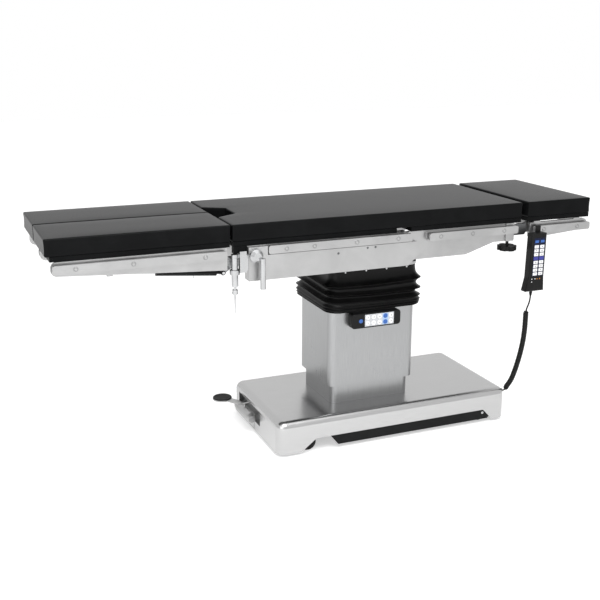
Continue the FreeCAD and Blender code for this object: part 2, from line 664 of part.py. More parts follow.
# Stepped side covers of the seat
def seat_covers():
    out = "frame_out + cover_thickness"
    shelf = "frame_top - cover_drop"
    cover = plate(
        "seat_cover", "y",
        [
            ("seat_foot", "frame_low"),
            ("back_hinge + seat_nose_low", "frame_low"),
            ("back_hinge + seat_nose_tip", "frame_top - seat_nose_drop"),
            ("back_hinge + seat_nose_low + 34", shelf),
            ("seat_foot + cover_full", shelf),
            ("seat_foot + cover_full", "frame_top - 2"),
            ("seat_foot", "frame_top - 2"),
        ],
        near("frame_out", out),
    )
    hole = round_bar(
        "clamp_hole", "y", ("clamp_axis", "clamp_z"), "clamp_stub + running_gap", near("frame_out + 8", f"{out} + 1")
    )
    node("seat_side_covers", group("seat_side_covers", *both(cut("seat_cover", cover, hole))))


def cut_corner_outline(inset, start, end, half):
    """The trunk's outline from above, with the trapezoid cut-out at its foot end."""
    return [
        (start, f"-({half})"),
        (end, f"-({half})"),
        (end, half),
        (start, half),
        (start, f"cutout_mouth / 2 + {inset}"),
        (f"trunk_start + cutout_depth + {inset}", f"cutout_inner / 2 + {inset}"),
        (f"trunk_start + cutout_depth + {inset}", f"-(cutout_inner / 2 + {inset})"),
        (start, f"-(cutout_mouth / 2 + {inset})"),
    ]


# Boards and cushions
def trunk_top():
    half = "half_top - board_inset"
    board = plate(
        "seat_board", "z", cut_corner_outline("board_inset", "trunk_start + board_inset", "back_hinge - board_stop", half),
        ("frame_top", "board_top"),
    )
    bracket = block(
        "board_bracket", ("trunk_start + board_inset", "seat_foot"),
        near("frame_out - bracket_thickness", "frame_out - 1"), ("frame_top - bracket_height", "frame_top"),
    )
    node("seat_board", fuse("seat_board", board, *both(bracket)))
    z = ("board_top", "cushion_top")
    bend_low, bend_high = "back_hinge - bend_half", "back_hinge + bend_half"
    seat = plate(
        "seat_cushion", "z", cut_corner_outline("0", "trunk_start", bend_low, "half_top"), z,
        [(level_with("z", "cushion_top"), "cushion_corner")],
    )
    node("seat_cushion", seat)
    node("cushion_bend", block("cushion_bend", (bend_low, f"{bend_high} - soft_gap"), ("-half_top", "half_top"), z))
    back_board = block(
        "back_board", ("back_hinge + board_restart", "trunk_end - board_inset"), (f"-({half})", half),
        ("frame_top", "board_top"),
    )
    node("back_board", back_board)
    back = plate(
        "back_cushion", "z", rectangle((bend_high, "trunk_end"), ("-half_top", "half_top")), z,
        [(along("y", x="trunk_end", z="cushion_top"), "cushion_corner")],
    )
    node("back_cushion", back)


# Back frame: side beams on the hinge pins, cross members, rails and the head knobs' bosses
def back_frame():
    low = "frame_top - back_drop"
    beam_x0 = "back_hinge + back_start"
    beam = plate(
        "back_beam", "y",
        [
            (beam_x0, low),
            ("back_hinge + back_deep_end", low),
            ("back_hinge + back_shallow", "frame_top - back_shallow_drop"),
            ("back_stop", "frame_top - back_shallow_drop"),
            ("back_stop", "frame_top"),
            (beam_x0, "frame_top"),
        ],
        near("back_out - back_beam", "back_out"),
    )
    eye = round_bar("back_eye", "y", ("back_hinge", "hinge_z"), "hinge_boss", near("back_out - back_beam", "back_out"))
    bore = round_bar(
        "back_eye_bore", "y", ("back_hinge", "hinge_z"), "hinge_pin + running_gap",
        near("back_out - back_beam - 1", "back_out + 1"),
    )
    beam = cut("back_side", fuse("back_side", beam, eye), bore)
    inner = "back_out - back_beam"
    crosses = []
    for i, at in enumerate(("back_cross_first", "back_cross_second", "back_stop - back_hinge - back_cross_width")):
        x = f"back_hinge + {at}"
        crosses.append(
            block(
                f"back_cross_{i}", (x, f"{x} + back_cross_width"), (f"-({inner})", inner),
                ("frame_top - back_cross_height", "frame_top"),
            )
        )
    boss = block(
        "knob_boss", ("knob_x - knob_boss", "knob_x + knob_boss"), near("knob_side - knob_boss + 1", "frame_out"),
        ("frame_top - back_shallow_drop", "frame_top"),
    )
    knob_bore = round_bar(
        "knob_bore", "z", ("knob_x", "-knob_side"), "knob_stem + running_gap",
        ("frame_top - back_shallow_drop - 1", "knob_boss_top"),
    )
    web_x = ("back_hinge + back_rail_start", "back_stop")
    web = block(
        "back_rail_web", web_x, near("back_out", "frame_out"),
        ("frame_top - side_rail_drop - rail_height", "frame_top - side_rail_drop"),
    )
    frame = cut("back_frame", fuse("back_frame", *both(beam, boss, web), *crosses), *both(knob_bore))
    screws = [f"back_hinge + back_screw_{at}" for at in ("first", "second", "third")]
    pieces = rail("back_rail", web_x, "frame_top - side_rail_drop", screws)
    node("back_frame", group("back_frame", frame, *both(*pieces)))


# Head joint: ears at the back frame's end, and the locking knobs
def head_joint():
    out = "socket_ear_side"
    ear = plate(
        "head_ear", "y",
        [
            ("back_stop", "frame_top - socket_ear_drop"),
            ("head_hinge + socket_ear_step", "frame_top - socket_ear_drop"),
            ("head_hinge + socket_round", "head_hinge_z"),
            ("head_hinge + socket_ear_nose", "frame_top - socket_ear_top"),
            ("back_stop", "frame_top - socket_ear_top"),
        ],
        near("socket_ear_side - socket_ear", out), [(along("y", x="head_hinge + socket_round"), "socket_ear_corner")],
    )
    pin = round_bar("head_pin", "y", ("head_hinge", "head_hinge_z"), "head_pin", near("head_lug_side - head_lug - 2", out))
    node("head_sockets", group("head_sockets", *both(fuse("head_socket", ear, pin))))
    knob_z = ("knob_low", "knob_low + knob_height")
    centre = ("knob_x", "-knob_side")
    disc = round_bar("knob_disc", "z", centre, "knob_radius", knob_z)
    lobes = [
        round_bar(
            "knob_dip", "z",
            (
                f"knob_x + (knob_radius + 4) * {math.cos(math.pi * i / 3):.9f}",
                f"-knob_side + (knob_radius + 4) * {math.sin(math.pi * i / 3):.9f}",
            ),
            "knob_lobe", ("knob_low - 1", "knob_low + knob_height + 1"),
        )
        for i in range(6)
    ]
    stem = round_bar("knob_stem", "z", centre, "knob_stem", ("knob_low + knob_height", "knob_boss_top - 4"))
    knob = fuse("knob", cut("knob_disc", disc, *lobes), stem)
    node("head_knob_near", knob)
    node("head_knob_far", mirrored(knob))


def head_section():
    low_near, low_far = "frame_top - head_low_near", "frame_top - head_low_far"
    top = "frame_top - head_top_drop"
    end = "head_end - head_rail_end"
    side = plate(
        "head_side", "y",
        [
            ("head_frame_start", low_near),
            ("head_start + head_low_start", low_near),
            (end, low_far),
            (end, top),
            ("head_frame_start", top),
        ],
        near("frame_out - head_plate_thickness", "frame_out"), [(along("y", x="head_end - head_rail_end"), "head_end_round")],
    )
    inner = "frame_out - head_plate_thickness"
    lug = plate(
        "head_lug", "y",
        [
            ("head_hinge - head_lug_reach", "head_hinge_z - head_lug_under"),
            ("head_frame_start + head_lug_foot", "head_hinge_z - head_lug_under"),
            ("head_frame_start + head_lug_foot", top),
            ("head_frame_start", top),
            ("head_hinge - head_lug_reach", "head_hinge_z + head_lug_reach"),
        ],
        near("head_lug_side - head_lug", "head_lug_side"),
    )
    lug = cut(
        "head_lug", lug,
        round_bar(
            "head_lug_bore", "y", ("head_hinge", "head_hinge_z"), "head_pin + running_gap",
            near("head_lug_side - head_lug - 1", "head_lug_side + 1"),
        ),
    )
    bars = []
    for i, x in enumerate(("head_frame_start + head_bar_start", "head_end - head_rail_end - head_bar_end")):
        bars.append(block(f"head_bar_{i}", (x, f"{x} + head_bar"), (f"-({inner})", inner), (f"{top} - head_bar_height", top)))
    shims = [
        block(
            "head_shim", (x, f"{x} + shim_length"), near("head_lug_side", "frame_out"), (top, "frame_top")
        )
        for x in ("head_frame_start + shim_start", "head_end - shim_end")
    ]
    frame = fuse("head_frame", *both(side, lug, *shims), *bars)
    screws = ["head_start + head_screw_first", "head_start + head_screw_second"]
    rail_x = ("head_frame_start + head_rail_start", end)
    pieces = rail("head_rail", rail_x, "frame_top - head_rail_drop", screws)
    node("head_frame", group("head_frame", frame, *both(*pieces)))
    half = "half_top - board_inset"
    board = block(
        "head_board", ("head_start + head_board_inset", "head_end - board_inset"), (f"-({half})", half), ("frame_top", "board_top")
    )
    node("head_board", board)
    cushion = plate(
        "head_cushion", "z", rectangle(("head_start", "head_end"), ("-half_top", "half_top")), ("board_top", "cushion_top"),
        [(level_with("z", "cushion_top"), "cushion_corner")],
    )
    node("head_cushion", cushion)


# Leg joint on the seat: socket with two lugs, and the spring plunger under it
def leg_sockets():
    axis = ("leg_axis", "-leg_axis_side")
    body = block("socket_body", ("socket_left", "socket_right"), near("socket_in", "socket_out"), ("socket_low", "socket_top"))
    neck = block(
        "socket_neck", ("socket_right", "seat_foot"), near("socket_in - 12", "socket_out - 3"),
        ("socket_low + 6", "socket_top - 13"),
    )
    pieces = [body, neck]
    for name, low, tall, radius in (
        ("top_lug", "top_lug", "top_lug_height", "top_lug_radius"),
        ("low_lug", "low_lug", "low_lug_height", "low_lug_radius"),
    ):
        z = (low, f"{low} + {tall}")
        pieces.append(round_bar(name, "z", axis, radius, z))
        pieces.append(block(name + "_arm", ("leg_axis", "socket_left"), near("leg_axis_side - 9", "leg_axis_side + 9"), z))
    lock = round_bar("lock_housing", "z", axis, "lock_radius", ("low_lug - lock_length", "low_lug"))
    pin_hole = round_bar("leg_pin_hole", "z", axis, "leg_pin + running_gap", ("low_lug + 2", "top_lug + top_lug_height + 1"))
    lock_hole = round_bar("lock_hole", "z", axis, "lock_bore + running_gap", ("low_lug - lock_length - 1", "low_lug + 1"))
    socket = cut("leg_socket", fuse("leg_socket", *pieces, lock), pin_hole, lock_hole)
    node("leg_sockets", group("leg_sockets", *both(socket)))
    shank_low = "plunger_fork_low + plunger_fork"
    head = round_bar("plunger_head", "z", axis, "lock_bore", (shank_low, "plunger_top"))
    grip = round_bar("plunger_fork", "z", axis, "lock_radius - 2", ("plunger_fork_low", shank_low))
    slot = block(
        "plunger_slot", ("leg_axis - 20", "leg_axis + 20"), near("leg_axis_side - 2.5", "leg_axis_side + 2.5"),
        ("plunger_fork_low - 1", "plunger_fork_low + 9"),
    )
    rod = round_bar("plunger_rod", "z", axis, "plunger_tip_radius", ("plunger_tip", "plunger_fork_low"), "plunger_rod_radius")
    tie = round_bar("plunger_tie", "z", axis, "plunger_rod_radius", ("plunger_fork_low", shank_low))
    plunger = fuse("plunger", head, cut("plunger_fork", grip, slot), rod, tie)
    node("leg_lock_near", plunger)
    node("leg_lock_far", mirrored(plunger))


# Leg yoke: barrel and pin on the socket, arm to the fold shaft, and the gas spring's pin
def leg_yokes():
    axis = ("leg_axis", "-leg_axis_side")
    barrel = round_bar(
        "barrel", "z", axis, "barrel_radius", ("low_lug + low_lug_height + lug_gap", "top_lug - lug_gap")
    )
    pin = round_bar("leg_pin", "z", axis, "leg_pin", ("low_lug + 3", "top_lug + top_lug_height"))
    arm_in = "arm_out - fold_arm"
    web_z = ("fold_z - 22", "fold_z + 12")
    web = block("yoke_web", ("leg_axis - 11", "leg_axis + 9"), near(arm_in, "leg_axis_side - 2"), web_z)
    arm = plate(
        "yoke_arm", "y",
        [
            ("leg_axis + 9", "fold_z - 22"),
            ("leg_axis + 9", "fold_z + 12"),
            ("fold_axis + 14", "fold_z + arm_end"),
            ("fold_axis - arm_reach", "fold_z + arm_end"),
            ("fold_axis - arm_reach", "fold_z - arm_end"),
            ("gas_yoke - 9", "gas_z - 10"),
            ("gas_yoke + 9", "gas_z - 10"),
        ],
        near(arm_in, "arm_out"),
    )
    fold_shaft = round_bar(
        "fold_shaft", "y", ("fold_axis", "fold_z"), "fold_shaft", near("inner_lug_out - inner_lug - 2", "frame_out - leg_plate - 1")
    )
    gas_pin = round_bar("gas_pin", "y", ("gas_yoke", "gas_z"), "gas_pin", near("arm_out", "gas_side + gas_eye_width / 2 + 4"))
    yoke = fuse("leg_yoke", barrel, pin, web, arm, fold_shaft, gas_pin)
    node("leg_yoke_near", yoke)
    node("leg_yoke_far", mirrored(yoke))


# Gas spring of a leg: tube hinged on the yoke, rod sliding in it towards its anchor on the leg
def gas_springs():

    def lay(name, radius, start, end):
        """A bar along the spring's line, between two distances from its pin on the yoke."""
        item = doc.addObject("Part::Cylinder", name)
        item.Placement = Placement(Vector(), Rotation(Vector(0, 1, 0), 1))
        bind(item, "Radius", radius)
        bind(item, "Height", f"({end}) - ({start})")
        bind(item, "Placement.Rotation.Angle", "atan2(gas_run_x; gas_run_z)")
        bind(item, "Placement.Base.x", f"gas_yoke + ({start}) * gas_run_x / gas_line")
        bind(item, "Placement.Base.y", "-gas_side")
        bind(item, "Placement.Base.z", f"gas_z + ({start}) * gas_run_z / gas_line")
        return item

    tube = lay("gas_tube", "gas_radius", "gas_start", "gas_start + gas_length")
    hollow = lay("gas_bore", "gas_radius - gas_wall", "gas_start + 12", "gas_start + gas_length - 12")
    gland = lay("gas_gland", "gas_rod + running_gap", "gas_start + gas_length - 20", "gas_start + gas_length + 10")
    neck = lay("gas_neck", "gas_pin", "4", "gas_start")
    eye = round_bar(
        "gas_eye", "y", ("gas_yoke", "gas_z"), "gas_eye", near("gas_side - gas_eye_width / 2", "gas_side + gas_eye_width / 2")
    )
    eye_hole = round_bar(
        "gas_eye_hole", "y", ("gas_yoke", "gas_z"), "gas_pin + running_gap", near("gas_side - 20", "gas_side + 20")
    )
    cylinder = cut("gas_cylinder", fuse("gas_cylinder", cut("gas_tube", tube, hollow, gland), neck, eye), eye_hole)
    node("gas_cylinder_near", cylinder)
    node("gas_cylinder_far", mirrored(cylinder))
    rod = lay("gas_rod", "gas_rod", "gas_start + gas_length - 110", "gas_line")
    piston = lay("gas_piston", "gas_radius - gas_wall - 0.1", "gas_start + gas_length - 118", "gas_start + gas_length - 110")
    end_eye = round_bar(
        "gas_end_eye", "y", ("gas_anchor", "gas_anchor_z"), "gas_eye - 1", near("gas_side - 4", "gas_side + 4")
    )
    stem = fuse("gas_rod", rod, piston, end_eye)
    node("gas_rod_near", stem)
    node("gas_rod_far", mirrored(stem))


# Leg section: side plates, cross bars, hinge lugs, rail, board and cushion
def leg_sections():
    top = "frame_top"
    outline = [
        ("leg_foot", "frame_top - leg_low_foot"),
        ("leg_head", "frame_top - leg_low_head"),
        ("leg_head", top),
        ("leg_foot", top),
    ]
    rounds = [(along("y", x="leg_foot"), "leg_round")]
    outer = plate("leg_outer", "y", outline, near("frame_out - leg_plate", "frame_out"), rounds)
    inner = plate("leg_inner", "y", outline, near("leg_inner_gap", "leg_inner_gap + leg_plate"), rounds)
    bars = []
    bar_low = "frame_top - leg_bar_height"
    inside = near("leg_inner_gap + leg_plate", "frame_out - leg_plate")
    for i, x in enumerate(("leg_foot + 30", "leg_foot + 220", "leg_foot + 400")):
        bars.append(block(f"leg_bar_{i}", (x, f"{x} + leg_bar_width"), inside, (bar_low, top)))
    hinge_x = ("fold_axis - leg_hinge_bar", "fold_axis - arm_reach - 1")
    hinge_bar = block("leg_hinge_bar", hinge_x, inside, ("fold_z + 16", top))
    lug_points = [
        ("fold_axis - leg_hinge_bar", "fold_z - 12"),
        ("fold_axis + 16", "fold_z - 12"),
        ("fold_axis + 16", "fold_z + 16"),
        ("fold_axis - arm_reach - 1", "frame_top - 10"),
        ("fold_axis - leg_hinge_bar", "frame_top - 10"),
    ]
    inner_lug = plate("leg_inner_lug", "y", lug_points, near("inner_lug_out - inner_lug", "inner_lug_out"))
    outer_lug = plate(
        "leg_outer_lug", "y", lug_points, near("frame_out - leg_plate - inner_lug", "frame_out - leg_plate")
    )
    bore = round_bar(
        "fold_bore", "y", ("fold_axis", "fold_z"), "fold_shaft + running_gap", near("inner_lug_out - 30", "frame_out - leg_plate")
    )
    anchor_x = ("gas_anchor - gas_lug_half", "gas_anchor + gas_lug_half")
    anchor_z = ("gas_anchor_z - gas_lug_half", top)
    anchors = [
        block("gas_lug", anchor_x, near(low, f"{low} + gas_lug"), anchor_z)
        for low in ("gas_side + 4 + gas_lug_gap", "gas_side - 4 - gas_lug_gap - gas_lug")
    ]
    tie = block(
        "gas_lug_tie", anchor_x, near("gas_side - 4 - gas_lug_gap - gas_lug", "frame_out - leg_plate"), (bar_low, top)
    )
    frame = fuse("leg_frame", outer, inner, *bars, hinge_bar, inner_lug, outer_lug, *anchors, tie)
    frame = cut("leg_frame", frame, bore)
    screws = [f"leg_joint - leg_screw_{at}" for at in ("first", "second", "third")]
    pieces = rail("leg_rail", ("leg_foot + 3", "leg_joint - leg_rail_end"), "frame_top - side_rail_drop", screws)
    leg = group("leg_frame", frame, *pieces)
    board = block(
        "leg_board", ("foot_end + board_end_inset", "leg_joint - leg_gap / 2 - 4"),
        near("leg_split / 2 + 2", "half_top - board_inset"), ("frame_top", "board_top"),
    )
    cushion = plate(
        "leg_cushion", "z",
        rectangle(("foot_end", "leg_joint - leg_gap / 2"), near("leg_split / 2", "half_top")), ("board_top", "cushion_top"),
        [(level_with("z", "cushion_top"), "cushion_corner")],
    )
    for name, item in (("leg_frame", leg), ("leg_board", board), ("leg_cushion", cushion)):
        node(name + "_near", item)
        node(name + "_far", mirrored(item))


# Clamp lever that locks a leg in its socket
def clamp_levers():
    face = "frame_out + cover_thickness + clamp_gap"
    centre = ("clamp_axis", "clamp_z")
    boss = round_bar("clamp_boss", "y", centre, "clamp_radius", near(face, f"{face} + clamp_depth - clamp_dome"))
    dome = round_bar(
        "clamp_dome", "y", centre, "clamp_radius - 10", near(f"{face} + clamp_depth - clamp_dome", f"{face} + clamp_depth"),
        "clamp_radius",
    )
    bar_x = "clamp_axis + lever_shift"
    bar = round_bar("lever_bar", "z", (bar_x, "-lever_side"), "lever_radius", ("lever_low", "clamp_z - 6"))
    stub = round_bar("clamp_stub", "y", centre, "clamp_stub", near("frame_out + 9", face))
    lever = fuse("clamp_lever", boss, dome, bar, stub)
    node("clamp_lever_near", lever)
    node("clamp_lever_far", mirrored(lever))


# Casters: fork with stem and axle, and a pair of wheels
def casters():
    for name, foot, way in (
        ("foot_near", "caster_foot", -1), ("foot_far", "caster_foot", 1),
        ("head_near", "caster_head", -1), ("head_far", "caster_head", 1),
    ):
        x, y = f"(base_foot + {foot})", f"({way} * caster_side)"
        axle_x = f"{x} + caster_trail"
        plate_top = "fork_plate_low + fork_plate_thickness"
        disc = round_bar("fork_plate", "z", (x, y), "fork_plate_radius", ("fork_plate_low", plate_top))
        stem = round_bar("fork_stem", "z", (x, y), "stem_radius", (plate_top, "stem_top"))
        cheek = block(
            "fork_body", (f"{x} - 12", f"{axle_x} + 10"), (f"{y} - fork_width / 2", f"{y} + fork_width / 2"),
            ("wheel_radius - 9", "fork_plate_low"),
        )
        reach = "wheel_gap / 2 + wheel_width + axle_cap"
        axle = round_bar("axle", "y", (axle_x, "wheel_radius"), "axle_radius", (f"{y} - ({reach})", f"{y} + {reach}"))
        node(f"caster_fork_{name}", fuse("caster_fork", disc, stem, cheek, axle))
        wheels = []
        for out in (-1, 1):
            middle = f"{y} + {out} * (wheel_gap + wheel_width) / 2"
            span = (f"{middle} - wheel_width / 2", f"{middle} + wheel_width / 2")
            tyre = round_bar("tyre", "y", (axle_x, "wheel_radius"), "wheel_radius", span)
            hole = round_bar(
                "wheel_bore", "y", (axle_x, "wheel_radius"), "axle_radius + running_gap", (f"{span[0]} - 1", f"{span[1]} + 1")
            )
            wheels.append(cut("wheel", tyre, hole))
        node(f"caster_wheel_{name}", group(f"wheels_{name}", *wheels))


# Floor lock: a bar each side on vertical guides, joined under the chassis
def floor_lock():
    foot, head = "base_foot + bar_foot_inset", "base_head - bar_head_inset"
    bar = plate(
        "lock_bar", "y",
        [
            (foot, "bar_low"),
            (f"{head} - 8", "bar_low"),
            (head, "bar_low + bar_head_rise"),
            (f"{head} - bar_head_run", "bar_top"),
            (f"{foot} - bar_foot_run", "bar_top"),
        ],
        near("bar_out - bar_thickness", "bar_out"), [(along("y", x=f"{head} - bar_head_run"), "8")],
    )
    pieces = both(bar)
    inner = "bar_out - bar_thickness"
    for x in ("tie_first", "tie_second"):
        middle = f"base_foot + {x}"
        tie = block(
            "lock_tie", (f"{middle} - tie_width / 2", f"{middle} + tie_width / 2"), (f"-({inner})", inner),
            ("tie_low", "tie_low + tie_height"),
        )
        guide = round_bar("lock_guide", "z", (middle, "-guide_side"), "guide_radius", ("tie_low", "guide_top"))
        pieces += [tie, *both(guide)]
    node("floor_lock_bars", fuse("floor_lock", *pieces))


# Brake pedal at the foot end, on a shaft in its housing
def pedal():
    axis = ("pedal_x", "pedal_axis_height")
    y0, y1 = "housing_near", "housing_near + housing_length"
    housing = round_bar("housing", "y", axis, "housing_radius", (y0, y1))
    nose = round_bar("housing_nose", "y", axis, "housing_taper", (f"{y0} - housing_nose", y0), "housing_radius")
    bore = round_bar("housing_bore", "y", axis, "shaft_radius + running_gap", ("housing_near + 20", f"{y1} + 1"))
    back = block(
        "housing_seat", ("pedal_x", "base_foot + pocket_depth"), (f"{y0} + 12", f"{y1} - 12"),
        ("pocket_low", "pedal_axis_height + 10"),
    )
    tee_stem = round_bar(
        "tee_stem", "z", ("pedal_x", "tee_side"), "tee_stem_radius",
        ("pedal_axis_height + housing_radius - 3", "pedal_axis_height + housing_radius + tee_height"),
    )
    tee_bar = round_bar(
        "tee_bar", "x", ("tee_side", "pedal_axis_height + housing_radius + tee_height"), "tee_radius",
        ("pedal_x - tee_length / 2", "pedal_x + tee_length / 2"),
    )
    screws = [
        round_bar(
            "housing_screw", "z", ("pedal_x", at), "5",
            ("pedal_axis_height + housing_radius - 3", "pedal_axis_height + housing_radius + 2"),
        )
        for at in ("housing_near + 8", "housing_near + 54")
    ]
    node("pedal_bracket", cut("pedal_bracket", fuse("pedal_bracket", housing, nose, back, tee_stem, tee_bar, *screws), bore))
    hub_y = (f"{y1} + lug_gap", f"{y1} + lug_gap + hub_length")
    hub = round_bar("pedal_hub", "y", axis, "hub_radius", hub_y)
    shaft = round_bar("pedal_shaft", "y", axis, "shaft_radius", ("housing_near + 21", hub_y[0]))
    pad_x = "pedal_x - pad_reach"
    low = "pedal_axis_height + plate_lift"
    high = f"{low} + plate_thickness"
    arm = plate(
        "pedal_arm", "z",
        [
            ("pedal_x + 8", f"{y1} + lug_gap"),
            ("pedal_x + 8", f"{hub_y[1]}"),
            (f"{pad_x} + 22", "pad_side"),
            (f"{pad_x} - 12", "pad_side - 6"),
            ("pedal_x - 14", f"{y1} + lug_gap"),
        ],
        (low, high),
    )
    oval = round_bar("pedal_plate", "z", (pad_x, "pad_side"), "pad_length / 2", (low, high))
    node("pedal_lever", fuse("pedal_lever", hub, shaft, arm, oval))
    pad = round_bar("pedal_pad", "z", (pad_x, "pad_side"), "pad_length / 2 - 1", (high, f"{high} + pad_thickness"))
    node("pedal_pad", pad)


# Handset hung on the head rail, its hook and keys
def handset():
    back = "rail_out + handset_gap"
    front = f"{back} + handset_depth"
    body = plate(
        "handset", "y",
        [
            ("handset_x - handset_half_low", "handset_low"),
            ("handset_x + handset_half_low - 6", "handset_low"),
            ("handset_x + handset_half_waist + 2", "handset_waist"),
            ("handset_x + handset_half_top + 2", "handset_top"),
            ("handset_x - handset_half_top + 4", "handset_top"),
            ("handset_x - handset_half_waist", "handset_waist"),
        ],
        near(back, front), [(level_with("y", f"-({front})"), "handset_round")],
    )
    gland = round_bar(
        "handset_gland", "z", ("handset_x - 10", f"-({back}) - handset_depth / 2"), "cord_radius + 0.5",
        ("handset_low - gland_length", "handset_low"), "gland_radius",
    )
    shell = fuse("handset_shell", body, gland)
    rail_top = "frame_top - head_rail_drop"
    hook_x = ("handset_x + hook_shift - hook_width / 2", "handset_x + hook_shift + hook_width / 2")
    roof = f"{rail_top} + hook_gap"
    strap = block("hook_strap", hook_x, near("rail_out + hook_gap", f"{back}"), (f"{roof} - 60", f"{roof} + hook_thickness"))
    crown = block("hook_crown", hook_x, near("rail_in - hook_gap - hook_thickness", back), (roof, f"{roof} + hook_thickness"))
    lip = block(
        "hook_lip", hook_x, near("rail_in - hook_gap - hook_thickness", "rail_in - hook_gap"), (f"{roof} - hook_lip", roof)
    )
    node("handset_body", group("handset_body", shell, fuse("handset_hook", strap, crown, lip)))
    middle = "handset_x + 3"
    window = block(
        "handset_window", (f"{middle} - keys_half", f"{middle} + keys_half"), near(front, f"{front} + keys_proud"),
        ("keys_low", "keys_high"),
    )
    node("handset_keypad", window)


# Curly cord from the handset to its port on the base's head end, and the port itself
CORD_LEAD = [(791, -303, 546), (791, -303, 520), (773, -305, 488)]
CORD_COIL = [
    (773, -305, 488),
    (776, -302, 452),
    (779, -298, 405),
    (780, -291, 350),
    (779, -280, 296),
    (777, -266, 243),
    (775, -250, 194),
    (771, -237, 158),
    (763, -220, 129),
]
CORD_TAIL = [(763, -220, 129), (772, -206, 108), (753, -205, 108)]


def cord_tube(name, points, radius):
    """Straight runs joined by tangent arcs, each arc as large as its two runs allow, then one round section."""
    points = [Vector(*p) for p in points]
    edges = []
    here = points[0]
    for before, corner, after in zip(points, points[1:], points[2:]):
        a, b = corner - before, after - corner
        turn = a.getAngle(b)
        tangent = 0.45 * min(a.Length, b.Length)
        arc_radius = tangent / math.tan(turn / 2)
        print(f"{name}: turn {math.degrees(turn):.0f} degrees, radius {arc_radius:.1f} mm")
        start = corner - a * (tangent / a.Length)
        end = corner + b * (tangent / b.Length)
        inward = b * (1 / b.Length) - a * (1 / a.Length)
        centre = corner + inward * (math.hypot(arc_radius, tangent) / inward.Length)
        middle = centre + (corner - centre) * (arc_radius / (corner - centre).Length)
        edges.append(Part.LineSegment(here, start).toShape())
        edges.append(Part.Arc(start, middle, end).toShape())
        here = end
    edges.append(Part.LineSegment(here, points[-1]).toShape())
    path = Part.Wire(edges)
    section = Part.Wire(Part.makeCircle(radius, points[0], points[1] - points[0]))
    solid = path.makePipeShell([section], True, False)
    print(f"{name}: {path.Length:.1f} mm, volume ratio {solid.Volume / (math.pi * radius ** 2 * path.Length):.4f}")
    return solid


def handset_cord():
    pieces = []
    for name, points, radius in (
        ("cord_lead", CORD_LEAD, "cord_radius"), ("cord_coil", CORD_COIL, "coil_radius"), ("cord_tail", CORD_TAIL, "cord_radius"),
    ):
        piece = doc.addObject("Part::Feature", name)
        piece.Shape = cord_tube(name, points, value(radius))
        pieces.append(piece)
    node("handset_cord", fuse("handset_cord", *pieces))
    port = round_bar(
        "cord_port", "x", ("cord_port_y", "cord_port_z"), "port_radius", ("base_head", "base_head + port_length")
    )
    node("cord_port", port)


for build in (
    base_chassis, base_cover, column, control_panel, tilt_joint, carrier, seat_frame, seat_covers,
    trunk_top, back_frame, head_joint, head_section, leg_sockets, leg_yokes, gas_springs, leg_sections,
    clamp_levers, casters, floor_lock, pedal, handset, handset_cord,
):
    build()

doc.recompute()
for item in doc.Objects:
    if {"Invalid", "Error"} & set(item.State):
        raise RuntimeError(f"{item.Name} could not be built: {item.State}")
for name, item in NODES.items():
    if item.Shape.isNull() or not item.Shape.isValid():
        raise RuntimeError(f"{name} has no valid shape")

os.makedirs("parts", exist_ok=True)
for name, item in NODES.items():
    item.Shape.exportStep(f"parts/{name}.step")
print(len(NODES), "nodes")
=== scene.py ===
import math

import bmesh
import bpy
import numpy as np
from mathutils import Matrix, Vector


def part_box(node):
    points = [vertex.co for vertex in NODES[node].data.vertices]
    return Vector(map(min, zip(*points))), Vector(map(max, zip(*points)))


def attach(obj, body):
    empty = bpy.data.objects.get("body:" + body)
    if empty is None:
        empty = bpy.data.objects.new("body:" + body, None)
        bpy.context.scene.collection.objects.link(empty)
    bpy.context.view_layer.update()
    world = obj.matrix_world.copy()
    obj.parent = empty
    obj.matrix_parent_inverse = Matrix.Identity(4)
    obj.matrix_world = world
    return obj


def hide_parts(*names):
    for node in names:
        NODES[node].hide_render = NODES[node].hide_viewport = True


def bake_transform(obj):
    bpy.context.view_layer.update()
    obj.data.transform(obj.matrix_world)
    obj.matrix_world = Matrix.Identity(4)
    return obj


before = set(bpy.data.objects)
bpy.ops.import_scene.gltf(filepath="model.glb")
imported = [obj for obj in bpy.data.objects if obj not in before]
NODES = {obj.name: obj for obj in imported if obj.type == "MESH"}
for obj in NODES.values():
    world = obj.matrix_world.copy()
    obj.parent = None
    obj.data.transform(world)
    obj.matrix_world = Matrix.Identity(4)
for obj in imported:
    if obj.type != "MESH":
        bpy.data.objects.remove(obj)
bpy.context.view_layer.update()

# Operating table, dressed round its CAD frame. Metres, +X to the head end, -Y to the control panel.
# "Near" is the panel's side at negative Y.

TAU = 2 * math.pi


def corners(node):
    """A CAD node's lowest and highest corner as arrays."""
    low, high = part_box(node)
    return np.array(low), np.array(high)


# Camera: the photograph's place, direction and lens
CAMERA_PLACE = Vector((-1.4647, -3.2981, 1.5641))
YAW, PITCH, ROLL = -0.396613, 0.27924, 0.003896
FOCAL_PIXELS, PHOTO_SIDE, SENSOR = 941.22, 600, 36.0


